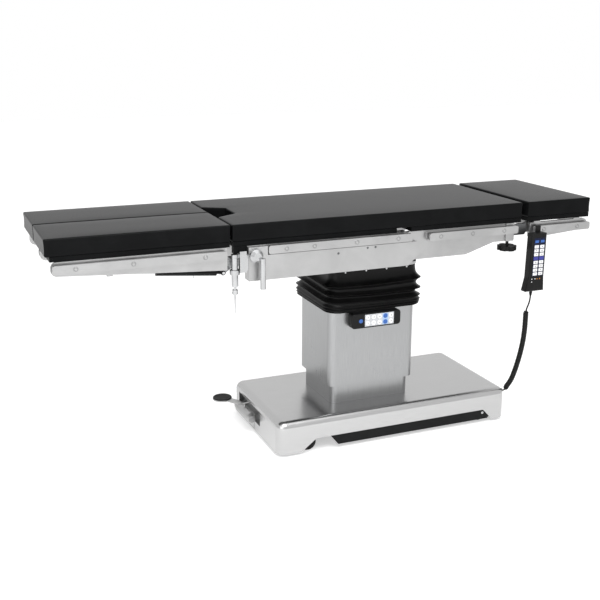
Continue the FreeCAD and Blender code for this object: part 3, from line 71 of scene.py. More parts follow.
def add_camera():
    ahead = Vector((-math.sin(YAW) * math.cos(PITCH), math.cos(YAW) * math.cos(PITCH), -math.sin(PITCH)))
    level = Vector((math.cos(YAW), math.sin(YAW), 0))
    up = level.cross(ahead)
    right = level * math.cos(ROLL) + up * math.sin(ROLL)
    up = right.cross(ahead)
    data = bpy.data.cameras.new("camera")
    data.sensor_width = SENSOR
    data.lens = FOCAL_PIXELS / PHOTO_SIDE * SENSOR
    camera = bpy.data.objects.new("camera", data)
    bpy.context.scene.collection.objects.link(camera)
    camera.matrix_world = Matrix(
        (
            (right.x, up.x, -ahead.x, CAMERA_PLACE.x),
            (right.y, up.y, -ahead.y, CAMERA_PLACE.y),
            (right.z, up.z, -ahead.z, CAMERA_PLACE.z),
            (0, 0, 0, 1),
        )
    )
    bpy.context.scene.camera = camera


# Mesh helpers: every surface is arrays of points on a grid


def quads(rows, columns, close_rows=False, close_columns=False):
    """Faces of a grid of points, row by row, wrapped round where asked."""
    r = np.arange(rows if close_rows else rows - 1)
    c = np.arange(columns if close_columns else columns - 1)
    r, c = (a.ravel() for a in np.meshgrid(r, c, indexing="ij"))
    r1, c1 = (r + 1) % rows, (c + 1) % columns
    return np.stack([r * columns + c, r * columns + c1, r1 * columns + c1, r1 * columns + c], 1)


def grid_part(points, close_rows=False, close_columns=False):
    """(points, faces) of one grid, points shaped rows by columns by 3."""
    rows, columns = points.shape[:2]
    return points.reshape(-1, 3), quads(rows, columns, close_rows, close_columns)


def join_parts(parts):
    """Several (points, faces) as one, with the faces counted on."""
    points, faces, start = [], [], 0
    for p, f in parts:
        points.append(p)
        faces.append(f + start)
        start += len(p)
    return np.concatenate(points), np.concatenate(faces)


def add_piece(name, parts, material, body=None, replaces=(), weld=1e-6):
    """A smooth mesh object from grid parts, its doubles merged and its normals turned outwards."""
    points, faces = join_parts(parts)
    mesh = bpy.data.meshes.new(name)
    mesh.from_pydata(points, [], faces.tolist())
    piece = bpy.data.objects.new(name, mesh)
    bpy.context.scene.collection.objects.link(piece)
    tidy_mesh(mesh, weld)
    mesh.polygons.foreach_set("use_smooth", np.full(len(mesh.polygons), True))
    mesh.materials.append(material)
    if replaces:
        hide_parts(*replaces)
    if body:
        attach(piece, body)
    return piece


def tidy_mesh(mesh, weld):
    """Merges doubles, drops faces that this leaves without area, and turns every face outwards."""
    work = bmesh.new()
    work.from_mesh(mesh)
    bmesh.ops.remove_doubles(work, verts=work.verts, dist=weld)
    bmesh.ops.dissolve_degenerate(work, dist=weld, edges=work.edges)
    bmesh.ops.recalc_face_normals(work, faces=work.faces)
    work.to_mesh(mesh)
    work.free()


def lathe(profile, centre, axis, count=40):
    """A surface of revolution: each (radius, height) of the profile makes a ring round the axis through the
    centre. A profile that starts and ends at radius 0 closes the surface."""
    profile = np.array(profile, float)
    angle = np.arange(count) * TAU / count
    side = np.stack([np.cos(angle), np.sin(angle)], 1)
    frames = {
        "x": ((0, 1, 0), (0, 0, 1), (1, 0, 0)),
        "y": ((0, 0, 1), (1, 0, 0), (0, 1, 0)),
        "z": ((1, 0, 0), (0, 1, 0), (0, 0, 1)),
    }
    u, v, w = (np.array(a, float) for a in frames[axis])
    ring = side[:, :1] * u + side[:, 1:] * v
    points = np.array(centre) + profile[:, None, :1] * ring[None] + profile[:, None, 1:] * w
    return grid_part(points, close_columns=True)


def arc(centre, radius, start, end, count=6):
    """Points of a circular arc in a profile's plane, angles in degrees."""
    angle = np.radians(np.linspace(start, end, count))
    return [(centre[0] + radius * math.cos(a), centre[1] + radius * math.sin(a)) for a in angle]


def rounded_box(low, high, radius, cells):
    """A box with round edges: points of a grid on its six faces, each pulled to within the radius of the
    inner box. The grid is finer towards the edges. cells gives the number of steps along each axis."""
    low, high = np.array(low, float), np.array(high, float)
    parts = []
    for axis in range(3):
        a, b = [i for i in range(3) if i != axis]
        steps = [edge_steps(low[i], high[i], radius, cells[i]) for i in (a, b)]
        ga, gb = np.meshgrid(*steps, indexing="ij")
        for place in (low[axis], high[axis]):
            p = np.empty(ga.shape + (3,))
            p[..., a], p[..., b], p[..., axis] = ga, gb, place
            parts.append(grid_part(p))
    points, faces = join_parts(parts)
    core = np.clip(points, low + radius, high - radius)
    away = points - core
    points = core + away * (radius / np.linalg.norm(away, axis=1, keepdims=True))
    return points, faces


def edge_steps(low, high, radius, cells):
    """Places along one side of a rounded box: equal angles on both round edges, equal steps between."""
    turn = np.tan(np.radians(np.linspace(45, 0, 5))) * radius
    first = low + radius - turn
    last = high - radius + turn[::-1]
    return np.unique(np.concatenate([first, np.linspace(low + radius, high - radius, cells + 1), last]))


def rounded_outline(length, width, corner, per_corner=10, per_side=16):
    """Points round a rectangle with round corners about the origin, with the outward direction at each."""
    points, normals = [], []
    half = np.array([length / 2, width / 2])
    for i, (sx, sy) in enumerate(((1, -1), (1, 1), (-1, 1), (-1, -1))):
        centre = (half - corner) * (sx, sy)
        start = -90 + 90 * i
        angle = np.radians(np.linspace(start, start + 90, per_corner))
        direction = np.stack([np.cos(angle), np.sin(angle)], 1)
        arc_points = centre + corner * direction
        following = (half - corner) * ((1, 1), (-1, 1), (-1, -1), (1, -1))[i]
        next_start = following + corner * direction[-1]
        share = np.linspace(0, 1, per_side + 1)[1:-1, None]
        side = arc_points[-1] + (next_start - arc_points[-1]) * share
        points += [arc_points, side]
        normals += [direction, np.repeat(direction[-1:], len(side), 0)]
    return np.concatenate(points), np.concatenate(normals)


def tube(path, radius, count=10):
    """A closed tube along a path of points: rings square to the path, carried along without twist, with both
    ends capped. radius is one number or one for each point."""
    path = np.asarray(path, float)
    ahead = np.gradient(path, axis=0)
    ahead /= np.linalg.norm(ahead, axis=1, keepdims=True)
    side = np.cross(ahead[0], (0, 0, 1) if abs(ahead[0][2]) < 0.9 else (1, 0, 0))
    sides = []
    for t in ahead:
        side = side - t * side.dot(t)
        side = side / np.linalg.norm(side)
        sides.append(side)
    sides = np.array(sides)
    other = np.cross(ahead, sides)
    angle = np.arange(count) * TAU / count
    radius = np.broadcast_to(np.asarray(radius, float), len(path))
    ring = np.cos(angle)[None, :, None] * sides[:, None] + np.sin(angle)[None, :, None] * other[:, None]
    points = path[:, None] + radius[:, None, None] * ring
    ends = [np.repeat(path[i][None, None], count, 1) for i in (0, -1)]
    return grid_part(np.concatenate([ends[0], points, ends[1]]), close_columns=True)


def mirror_y(points_faces):
    """The same part on the far side, with its faces turned to match."""
    points, faces = points_faces
    return points * (1, -1, 1), faces[:, ::-1]


# Shader node groups: masks and values shared by the materials


def new_group(name, inputs, outputs):
    group = bpy.data.node_groups.new(name, "ShaderNodeTree")
    for label, kind, start in inputs:
        socket = group.interface.new_socket(name=label, in_out="INPUT", socket_type=kind)
        if start is not None:
            socket.default_value = start
    for label, kind in outputs:
        group.interface.new_socket(name=label, in_out="OUTPUT", socket_type=kind)
    return group, group.nodes.new("NodeGroupInput"), group.nodes.new("NodeGroupOutput")


def put(tree, kind, **settings):
    """A node with settings: sockets by their names with spaces as underscores, and the rest as attributes."""
    item = tree.nodes.new(kind)
    for key, setting in settings.items():
        label = key.replace("_", " ")
        socket = next((s for s in item.inputs if s.name.lower() == label and s.enabled), None)
        if socket is not None:
            socket.default_value = setting
        else:
            setattr(item, key, setting)
    return item


def make_grain():
    """Fine leather or moulded grain: small cells crossed with noise, as a height and a mask of hollows."""
    group, given, result = new_group(
        "grain", [("Scale", "NodeSocketFloat", 900.0), ("Softness", "NodeSocketFloat", 0.5)],
        [("Height", "NodeSocketFloat"), ("Hollows", "NodeSocketFloat")],
    )
    place = put(group, "ShaderNodeTexCoord")
    cells = put(group, "ShaderNodeTexVoronoi", feature="SMOOTH_F1", smoothness=0.6)
    noise = put(group, "ShaderNodeTexNoise", detail=3.0)
    mixed = put(group, "ShaderNodeMix", data_type="FLOAT")
    ramp = put(group, "ShaderNodeMapRange", from_min=0.25, from_max=0.75)
    link = group.links.new
    link(place.outputs["Object"], cells.inputs["Vector"])
    link(place.outputs["Object"], noise.inputs["Vector"])
    link(given.outputs["Scale"], cells.inputs["Scale"])
    link(given.outputs["Scale"], noise.inputs["Scale"])
    link(given.outputs["Softness"], mixed.inputs["Factor"])
    link(cells.outputs["Distance"], mixed.inputs["A"])
    link(noise.outputs["Fac"], mixed.inputs["B"])
    link(mixed.outputs["Result"], ramp.inputs["Value"])
    link(mixed.outputs["Result"], result.inputs["Height"])
    link(ramp.outputs["Result"], result.inputs["Hollows"])
    return group


def make_streaks():
    """Brushed metal: noise stretched along one axis, as a height and a mask centred on one half."""
    group, given, result = new_group(
        "streaks", [("Along", "NodeSocketVector", (1.0, 60.0, 60.0)), ("Scale", "NodeSocketFloat", 14.0)],
        [("Height", "NodeSocketFloat"), ("Mask", "NodeSocketFloat")],
    )
    place = put(group, "ShaderNodeTexCoord")
    stretch = put(group, "ShaderNodeVectorMath", operation="MULTIPLY")
    fine = put(group, "ShaderNodeTexNoise", detail=4.0, roughness=0.6)
    ramp = put(group, "ShaderNodeMapRange", from_min=0.3, from_max=0.7)
    link = group.links.new
    link(place.outputs["Object"], stretch.inputs[0])
    link(given.outputs["Along"], stretch.inputs[1])
    link(stretch.outputs["Vector"], fine.inputs["Vector"])
    link(given.outputs["Scale"], fine.inputs["Scale"])
    link(fine.outputs["Fac"], result.inputs["Height"])
    link(fine.outputs["Fac"], ramp.inputs["Value"])
    link(ramp.outputs["Result"], result.inputs["Mask"])
    return group


def make_smudges():
    """Broad soft patches of wiping marks and handling."""
    group, given, result = new_group(
        "smudges", [("Scale", "NodeSocketFloat", 6.0)], [("Patches", "NodeSocketFloat")]
    )
    place = put(group, "ShaderNodeTexCoord")
    broad = put(group, "ShaderNodeTexNoise", detail=4.0, distortion=0.6)
    soft = put(group, "ShaderNodeMapRange", from_min=0.35, from_max=0.7)
    link = group.links.new
    link(place.outputs["Object"], broad.inputs["Vector"])
    link(given.outputs["Scale"], broad.inputs["Scale"])
    link(broad.outputs["Fac"], soft.inputs["Value"])
    link(soft.outputs["Result"], result.inputs["Patches"])
    return group


GRAIN, STREAKS, SMUDGES = make_grain(), make_streaks(), make_smudges()


def place_group(tree, group, **values):
    item = tree.nodes.new("ShaderNodeGroup")
    item.node_tree = group
    for key, number in values.items():
        item.inputs[key].default_value = number
    return item


def start_material(name, **principled):
    """A material with its shader's own sockets set, and the tree to build the rest in."""
    material = bpy.data.materials.new(name)
    material.use_nodes = True
    tree = material.node_tree
    shader = tree.nodes["Principled BSDF"]
    for key, number in principled.items():
        shader.inputs[key.replace("_", " ").title().replace("Ior", "IOR")].default_value = number
    return material, tree, shader


def mix_colours(tree, factor, dark, light):
    """A colour between two by a mask."""
    blend = put(tree, "ShaderNodeMix", data_type="RGBA")
    blend.inputs["A"].default_value = (*dark, 1)
    blend.inputs["B"].default_value = (*light, 1)
    tree.links.new(factor, blend.inputs["Factor"])
    return blend.outputs["Result"]


def between(tree, factor, low, high):
    """A number between two by a mask."""
    scale = put(tree, "ShaderNodeMapRange", to_min=low, to_max=high)
    tree.links.new(factor, scale.inputs["Value"])
    return scale.outputs["Result"]


def bump_from(tree, shader, height, distance, strength=1.0):
    bump = put(tree, "ShaderNodeBump", strength=strength, distance=distance)
    tree.links.new(height, bump.inputs["Height"])
    tree.links.new(bump.outputs["Normal"], shader.inputs["Normal"])


def brushed_metal(name, dark, light, rough, along):
    """Metal with a brushed grain along an axis, streaks in colour and gloss, and faint wiping marks."""
    material, tree, shader = start_material(name, metallic=1.0)
    streaks = place_group(tree, STREAKS, Along=along, Scale=14.0)
    smudges = place_group(tree, SMUDGES, Scale=5.0)
    tree.links.new(mix_colours(tree, streaks.outputs["Mask"], dark, light), shader.inputs["Base Color"])
    blended = put(tree, "ShaderNodeMix", data_type="FLOAT")
    blended.inputs["Factor"].default_value = 0.5
    tree.links.new(streaks.outputs["Mask"], blended.inputs["A"])
    tree.links.new(smudges.outputs["Patches"], blended.inputs["B"])
    tree.links.new(between(tree, blended.outputs["Result"], *rough), shader.inputs["Roughness"])
    bump_from(tree, shader, streaks.outputs["Height"], 0.00006)
    return material


def satin_metal(name, dark, light, rough, metallic, gloss=0.5):
    """Anodised, plated or painted metal: fine even grain, patches of handling in colour and gloss."""
    material, tree, shader = start_material(name, metallic=metallic, specular_ior_level=gloss)
    grain_node = place_group(tree, GRAIN, Scale=2600.0, Softness=0.8)
    smudges = place_group(tree, SMUDGES, Scale=9.0)
    tree.links.new(mix_colours(tree, smudges.outputs["Patches"], dark, light), shader.inputs["Base Color"])
    tree.links.new(between(tree, smudges.outputs["Patches"], *rough), shader.inputs["Roughness"])
    bump_from(tree, shader, grain_node.outputs["Height"], 0.00003)
    return material


def moulded(name, dark, light, rough, grain, depth, gloss):
    """Moulded plastic, rubber or coated cloth: grain in height and gloss, and patches in colour."""
    material, tree, shader = start_material(name, specular_ior_level=gloss)
    grain_node = place_group(tree, GRAIN, Scale=grain, Softness=0.5)
    smudges = place_group(tree, SMUDGES, Scale=11.0)
    tree.links.new(mix_colours(tree, smudges.outputs["Patches"], dark, light), shader.inputs["Base Color"])
    tree.links.new(between(tree, grain_node.outputs["Hollows"], *rough), shader.inputs["Roughness"])
    bump_from(tree, shader, grain_node.outputs["Height"], depth)
    return material


def plain_key(name, colour, rough=0.35, gloss=0.3):
    """A printed membrane key with a faint mottle."""
    material, tree, shader = start_material(name, specular_ior_level=gloss)
    smudges = place_group(tree, SMUDGES, Scale=60.0)
    darker = tuple(c * 0.88 for c in colour)
    tree.links.new(mix_colours(tree, smudges.outputs["Patches"], darker, colour), shader.inputs["Base Color"])
    tree.links.new(between(tree, smudges.outputs["Patches"], rough, rough + 0.12), shader.inputs["Roughness"])
    return material


def grey(level, warmth=0.0):
    """A neutral colour of that level, a little cooler where warmth is below nothing."""
    return (level * (1 + warmth), level, level * (1 - warmth))


ALONG_X, ALONG_Z = (1.0, 70.0, 70.0), (70.0, 70.0, 1.0)


def make_metals():
    """Each with its dark and light colour and its roughness. The cover's and column's steels are brushed."""
    brushed = {
        "cover steel": (grey(0.43), grey(0.50), (0.20, 0.28), ALONG_X),
        "column steel": (grey(0.28, -0.01), grey(0.34, -0.01), (0.26, 0.34), ALONG_Z),
    }
    satin = {
        "frame metal": (grey(0.37), grey(0.43), (0.30, 0.38), 0.9),
        "bright steel": (grey(0.42, -0.01), grey(0.52, -0.01), (0.20, 0.30), 1.0),
        "dark steel": (grey(0.10, -0.02), grey(0.16, -0.02), (0.30, 0.42), 0.9),
        # The darker steel for the ring round the rail screws' heads is painted shade of their groove.
        "ring steel": (grey(0.26), grey(0.32), (0.35, 0.45), 0.9),
    }
    paint = {
        "chassis paint": (grey(0.020, -0.05), grey(0.030, -0.05), (0.45, 0.6), 0.2),
        "black paint": (grey(0.005, -0.05), grey(0.008, -0.05), (0.34, 0.46), 0.12),
    }
    made = {name: brushed_metal(name, *values) for name, values in brushed.items()}
    made |= {name: satin_metal(name, *values) for name, values in satin.items()}
    for name, (dark, light, rough, gloss) in paint.items():
        made[name] = satin_metal(name, dark, light, rough, metallic=0.0, gloss=gloss)
    return made


def make_blacks():
    """Each with its dark and light colour and its roughness, the grain's scale and depth, and its gloss."""
    table = {
        "upholstery": (grey(0.0045, -0.05), grey(0.0065, -0.05), (0.26, 0.36), 700.0, 0.00006, 0.055),
        "board": (grey(0.0035, -0.05), grey(0.0060, -0.05), (0.40, 0.55), 1800.0, 0.00006, 0.06),
        "bellows rubber": (grey(0.003), grey(0.005), (0.30, 0.42), 1100.0, 0.00006, 0.14),
        "cord rubber": (grey(0.006), grey(0.010), (0.38, 0.52), 1800.0, 0.00006, 0.22),
        "tyre": (grey(0.008), grey(0.014), (0.5, 0.7), 900.0, 0.00006, 0.22),
        "black plastic": (grey(0.005), grey(0.008), (0.30, 0.42), 2200.0, 0.00006, 0.16),
        "tread rubber": (grey(0.006), grey(0.016), (0.45, 0.65), 1500.0, 0.00006, 0.22),
    }
    return {name: moulded(name, *values) for name, values in table.items()}


def make_key_colours():
    return {
        "key window": plain_key("key window", (0.010, 0.014, 0.038), 0.25, 0.12),
        "key plate": plain_key("key plate", (0.55, 0.56, 0.58)),
        "pale blue": plain_key("pale blue", (0.36, 0.50, 0.72)),
        "mark": plain_key("mark", (0.10, 0.10, 0.11)),
        "white key": plain_key("white key", (0.86, 0.86, 0.87)),
        "blue key": plain_key("blue key", (0.045, 0.13, 0.42)),
        "violet key": plain_key("violet key", (0.05, 0.055, 0.30)),
        "lamp white": plain_key("lamp white", (0.8, 0.8, 0.8)),
        "lamp amber": plain_key("lamp amber", (0.60, 0.22, 0.03)),
    }


MATERIALS = make_metals() | make_blacks() | make_key_colours()

NODE_FINISH = {
    "cover steel": ["base_cover"],
    "column steel": ["lower_sleeve", "column_cover_front", "column_cover_rear"],
    "chassis paint": ["base_chassis", "column_head", "tilt_cross", "carrier"],
    "frame metal": [
        "seat_frame", "seat_side_covers", "back_frame", "head_frame", "leg_frame_near", "leg_frame_far",
        "pedal_bracket", "pedal_lever",
    ],
    "bright steel": [
        "lift_cylinder", "leg_sockets", "leg_yoke_near", "leg_yoke_far", "gas_rod_near", "gas_rod_far",
        "clamp_lever_near", "clamp_lever_far", "leg_lock_near", "leg_lock_far",
    ],
    "upholstery": [
        "seat_cushion", "cushion_bend", "back_cushion", "head_cushion", "leg_cushion_near", "leg_cushion_far",
    ],
    "board": ["seat_board", "back_board", "head_board", "leg_board_near", "leg_board_far"],
    "bellows rubber": ["bellows_lower", "bellows_upper"],
    "cord rubber": ["handset_cord", "pedal_pad"],
    "black plastic": ["panel_housing", "handset_body", "cord_port", "head_knob_near", "head_knob_far"],
    "dark steel": ["head_sockets"],
    "key plate": ["panel_keypad", "handset_keypad"],
    "black paint": [
        "floor_lock_bars", "gas_cylinder_near", "gas_cylinder_far",
        *[f"caster_fork_{end}_{side}" for end in ("foot", "head") for side in ("near", "far")],
    ],
    "tyre": [f"caster_wheel_{end}_{side}" for end in ("foot", "head") for side in ("near", "far")],
}


def dress_nodes():
    for finish, names in NODE_FINISH.items():
        for name in names:
            mesh = NODES[name].data
            mesh.materials.clear()
            mesh.materials.append(MATERIALS[finish])


# Cushions: firm foam pads in coated cloth, round at every edge, a little crowned on top
PAD_RADIUS = 0.006
PAD_CROWN = 0.0022
PAD_WAIST = 0.0016


def shape_pad(points, low, high):
    """Crowns the top by a product of one minus fourth powers, and pulls the sides in at half height."""
    middle, half = (low + high) / 2, (high - low) / 2
    u, v, w = ((points[:, i] - middle[i]) / half[i] for i in range(3))
    face = np.clip(1 - u**4, 0, 1) * np.clip(1 - v**4, 0, 1)
    top = np.clip(w, 0, 1)
    points = points.copy()
    points[:, 2] += (PAD_CROWN * face - PAD_CROWN) * top
    waist = PAD_WAIST * np.clip(1 - w**2, 0, 1)
    points[:, 0] -= np.sign(u) * waist * np.abs(u) ** 12
    points[:, 1] -= np.sign(v) * waist * np.abs(v) ** 12
    return points


def pad(name, low, high, body, replaces, cells=(24, 20, 3)):
    points, faces = rounded_box(low, high, PAD_RADIUS, cells)
    points = shape_pad(points, low, high)
    piece = add_piece(name, [(points, faces)], MATERIALS["upholstery"], body, replaces)
    return piece


# Cut-out in the trunk pad's foot end: its half width at the mouth and inside, its depth, and how far towards
# the back the grid of the pad gives way to it
CUT_OUT_MOUTH, CUT_OUT_INNER, CUT_OUT_DEPTH, CUT_OUT_REACH = 0.1035, 0.057, 0.080, 0.24


def cut_out_depth(y):
    """How far the trunk pad's foot end is set back at y: full in the middle, sloping out to the mouth."""
    return CUT_OUT_DEPTH * np.clip((CUT_OUT_MOUTH - np.abs(y)) / (CUT_OUT_MOUTH - CUT_OUT_INNER), 0, 1)


def trunk_pad():
    """One pad from the leg joint over the back hinge: a rounded box, its foot end set back by the cut-out."""
    low, _ = corners("seat_cushion")
    _, high = corners("back_cushion")
    points, faces = rounded_box(low, high, PAD_RADIUS, (70, 64, 3))
    points = shape_pad(points, low, high)
    share = np.clip(1 - (points[:, 0] - low[0]) / CUT_OUT_REACH, 0, 1)
    points[:, 0] += cut_out_depth(points[:, 1]) * share
    nodes = ["seat_cushion", "cushion_bend", "back_cushion"]
    piece = add_piece("trunk_pad", [(points, faces)], MATERIALS["upholstery"], None, nodes)
    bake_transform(piece)
    return piece


def cushions():
    trunk_pad()
    pad("head_pad", *corners("head_cushion"), "head", ["head_cushion"])
    for side in ("near", "far"):
        node = f"leg_cushion_{side}"
        pad(f"leg_pad_{side}", *corners(node), f"leg_{side}", [node])


# Bellows: pleats pressed together at the foot and drawn out at the top. Each is the height of its tip over
# the bellows' foot, the reach of the tip, the reach of the hollow over it, and the fold's sharpness there.
PLEATS = [
    (-0.002, 1.08, 0.98, 1.3), (0.007, 1.14, 1.00, 1.3), (0.017, 1.18, 1.00, 1.5), (0.035, 1.20, 0.72, 1.8),
    (0.064, 1.22, 0.78, 2.0), (0.100, 1.20, 0.64, 5.0),
]
BELLOWS_TUCK = 0.040
BELLOWS_CORNER = 0.055
BELLOWS_HANG = 0.005
PLEAT_TILT = 0.006
LIP = 0.009
BAND_DROP = 0.013
RIVET_PITCH, RIVET_DROP = 0.088, 0.020


def pleat_profile(height, top):
    """How far out the bellows stands at each height, 1 for the full reach: a fold comes to an edge at its tip
    and eases into the hollow beside it, as a power of the distance from the hollow."""
    tips = np.array([p[0] for p in PLEATS])
    hollows = np.append((tips[:-1] + tips[1:]) / 2, top)
    below = np.concatenate([[-BELLOWS_HANG], hollows[:-1]])
    reach = np.zeros_like(height)
    for i, (tip, out, hollow, sharpness) in enumerate(PLEATS):
        under = PLEATS[i - 1][2] if i else hollow
        inside = (height >= below[i] - 1e-9) & (height <= hollows[i] + 1e-9)
        over = height > tip
        far = np.where(over, hollows[i] - tip, tip - below[i])
        away = np.clip(np.abs(height - tip) / far, 0, 1)
        rest = np.where(over, hollow, under)
        power = np.where(over, sharpness, 1.8)
        reach = np.where(inside, rest + (out - rest) * (1 - away) ** power, reach)
    return reach


def pleat_heights(start, end):
    """Heights for the rings: every tip and hollow in the stretch, and even steps of about 1.5 mm between."""
    tips = [p[0] for p in PLEATS if start < p[0] < end]
    return np.unique(np.concatenate([np.linspace(start, end, int((end - start) / 0.0015)), tips]))


def pleat_lift(heights, outline, around, full):
    """How much higher each point of the folds lies than its ring: the middle folds sink to the head end, and
    all of them waver a little on their way round."""
    held = np.sin(np.pi * np.clip(heights / full, 0, 1))[:, None]
    middle = np.sin(np.pi * np.clip(heights / PLEATS[-1][0], 0, 1))[:, None]
    tilt = -PLEAT_TILT * middle * (outline[:, 0] / outline[:, 0].max())[None]
    return tilt + (0.0022 * np.sin(2 * around + 0.4) + 0.0014 * np.sin(5 * around + 1.1))[None] * held


def bellows():
    """Each half is the rounded outline carried up the pleat profile, a shell with a lip turned in at its
    foot. A metal band holds the upper half's top."""
    low, high = corners("bellows_lower")
    _, top = corners("bellows_upper")
    full = top[2] - low[2]
    middle_height = (high[2] - low[2]) + 0.0001
    centre = (low + high) / 2
    outline, normals = rounded_outline(*(high - low)[:2], BELLOWS_CORNER, per_corner=14, per_side=30)
    around = np.linspace(0, TAU, len(outline), endpoint=False)
    halves = (
        ("lower", -BELLOWS_HANG, middle_height, "column", "cross"),
        ("upper", middle_height, full - BAND_DROP, "cross", "carrier"),
    )
    for name, start, end, first, second in halves:
        heights = pleat_heights(start, end)
        reach = pleat_profile(heights, full)[:, None]
        slack = 0.0066 * (0.5 + 0.5 * np.cos(4 * around))[None] * np.clip(1 - reach, 0, 0.6)
        inward = BELLOWS_TUCK * (1 - reach) + slack
        ring = outline[None] - normals[None] * inward[..., None]
        z = low[2] + heights[:, None] + pleat_lift(heights, outline, around, full)
        points = np.concatenate([ring + centre[:2], z[..., None]], 2)
        wall = 0.003 + (LIP - 0.003) * np.clip(1 - (heights + BELLOWS_HANG) / 0.003, 0, 1)
        inner = points.copy()
        inner[..., :2] -= normals[None] * wall[:, None, None]
        part = grid_part(np.concatenate([points, inner[::-1]]), close_rows=True, close_columns=True)
        rubber = MATERIALS["bellows rubber"]
        piece = add_piece(f"bellows_{name}_pleats", [part], rubber, None, [f"bellows_{name}"])
        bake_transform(piece)
    rivets(low, high, top)
    add_band(outline + centre[:2], normals, top[2])


def add_band(outline, normals, top):
    """The metal band: an angular section, its edges broken, carried round the outline over the rubber."""
    inset = BELLOWS_TUCK * (1 - PLEATS[-1][2]) - 0.0012
    height, thick, edge, support = 0.0145, 0.004, 0.0006, 0.002
    section = [
        (0, edge), (0, support), (0, height - support), (0, height - edge),
        (edge, height), (thick, height), (thick, 0), (edge, 0),
    ]
    rows = []
    for away, up in section:
        ring = outline - normals * (inset + away)
        rows.append(np.column_stack([ring, np.full(len(ring), top - height + up)]))
    band = grid_part(np.array(rows), close_rows=True, close_columns=True)
    add_piece("bellows_band", [band], MATERIALS["frame metal"], "carrier")


def rivets(low, high, top):
    """Domed rivets along the bellows' top band, four on each long side."""
    dome = [(0, 0.0022)] + arc((0.0022, 0.0004), 0.0018, 80, 0, 4) + [(0.0041, -0.001), (0, -0.001)]
    height = top[2] - RIVET_DROP
    reach = pleat_profile(np.array([height - low[2]]), top[2] - low[2])[0]
    inset = BELLOWS_TUCK * (1 - reach) + 0.0004
    parts = []
    for step in (-1.5, -0.5, 0.5, 1.5):
        x = (low[0] + high[0]) / 2 + step * RIVET_PITCH
        parts.append(flip_y(lathe(dome, (x, 0, height), "y", 14), low[1] + inset))
        parts.append(shift_part(lathe(dome, (x, 0, height), "y", 14), (0, high[1] - inset, 0)))
    add_piece("bellows_rivets", parts, MATERIALS["bright steel"], "carrier")


def shift_part(part, by):
    return part[0] + np.array(by), part[1]


def flip_y(part, place):
    """A part built facing +Y, turned to face -Y and set at that Y."""
    points, faces = part
    return points * (1, -1, 1) + (0, place, 0), faces[:, ::-1]


# Handset cord: the route from the base's port up to the hand control, its coil as a loop along it
PORT, GLAND = (0.753, -0.205, 0.108), (0.791, -0.303, 0.546)
CORD_ROUTE = [
    PORT, (0.772, -0.206, 0.108), (0.763, -0.220, 0.129), (0.771, -0.237, 0.158), (0.775, -0.250, 0.194),
    (0.777, -0.266, 0.243), (0.779, -0.280, 0.296), (0.780, -0.291, 0.350), (0.779, -0.298, 0.405),
    (0.776, -0.302, 0.452), (0.773, -0.305, 0.488), (0.791, -0.303, 0.520), GLAND,
]
CORD_RADIUS, COIL_RADIUS = 0.003, 0.008
COIL_PITCH = 0.0067
COIL_LOW, COIL_HIGH = 0.115, 0.486
COIL_EASE = 0.010
STEPS_PER_TURN = 14
# Where the cord passes from one body to the next, by height: each stretch ends at one joint
CORD_STRETCHES = [
    ("base", "column", 0.196), ("column", "cross", 0.238), ("cross", "carrier", 0.262),
    ("carrier", "seat", 0.312), ("seat", "back", 0.408), ("back", "head", 0.472), ("head", "handset", None),
]


def route_line(points):
    """Points along the NURBS spline with those control points, as Blender works it out."""
    data = bpy.data.curves.new("route", "CURVE")
    data.dimensions = "3D"
    data.resolution_u = 48
    spline = data.splines.new("NURBS")
    spline.points.add(len(points) - 1)
    for point, place in zip(spline.points, points):
        point.co = (*place, 1)
    spline.order_u = 3
    spline.use_endpoint_u = True
    carrier = bpy.data.objects.new("route", data)
    bpy.context.scene.collection.objects.link(carrier)
    mesh = bpy.data.meshes.new_from_object(carrier)
    line = np.array([v.co for v in mesh.vertices])
    bpy.data.objects.remove(carrier)
    bpy.data.curves.remove(data)
    bpy.data.meshes.remove(mesh)
    return line


def carried_sides(line):
    """Two directions square to the line at each point, carried along it without twist."""
    ahead = np.gradient(line, axis=0)
    ahead /= np.linalg.norm(ahead, axis=1, keepdims=True)
    side = np.cross(ahead[0], (0, 1, 0))
    sides = []
    for t in ahead:
        side = side - t * side.dot(t)
        side = side / np.linalg.norm(side)
        sides.append(side)
    sides = np.array(sides)
    return sides, np.cross(ahead, sides)


def cord_line():
    """The cord's own line: along the route, and round it where it is coiled, the radius eased in and out."""
    route = route_line(CORD_ROUTE)
    walked = np.concatenate([[0], np.cumsum(np.linalg.norm(np.diff(route, axis=0), axis=1))])
    start, end = (np.interp(z, route[:, 2], walked) for z in (COIL_LOW, COIL_HIGH))
    turns = round((end - start) / COIL_PITCH)
    coiled = np.linspace(start, end, turns * STEPS_PER_TURN)
    places = np.concatenate([np.linspace(0, start, 30)[:-1], coiled, np.linspace(end, walked[-1], 24)[1:]])
    line = np.stack([np.interp(places, walked, route[:, i]) for i in range(3)], 1)
    side, other = carried_sides(line)
    share = np.clip((places - start) / (end - start), 0, 1)
    ease = np.clip(np.minimum(places - start, end - places) / COIL_EASE, 0, 1)
    radius = COIL_RADIUS * ease * ease * (3 - 2 * ease)
    turn = TAU * turns * share
    return line + radius[:, None] * (np.cos(turn)[:, None] * side + np.sin(turn)[:, None] * other)


def handset_cord():
    """One piece of cord for each joint between the base and the hand control: the coil follows them all."""
    line = cord_line()
    starts = [0]
    for _, _, height in CORD_STRETCHES[:-1]:
        starts.append(int(np.argmax(line[:, 2] > height)))
    starts.append(len(line) - 1)
    for i, (first, second, height) in enumerate(CORD_STRETCHES):
        path = line[starts[i] : starts[i + 1] + 1]
        lead, rubber = [tube(path, CORD_RADIUS, 8)], MATERIALS["cord rubber"]
        piece = add_piece(f"cord_{first}_{second}", lead, rubber, None, ["handset_cord"])
        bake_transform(piece)


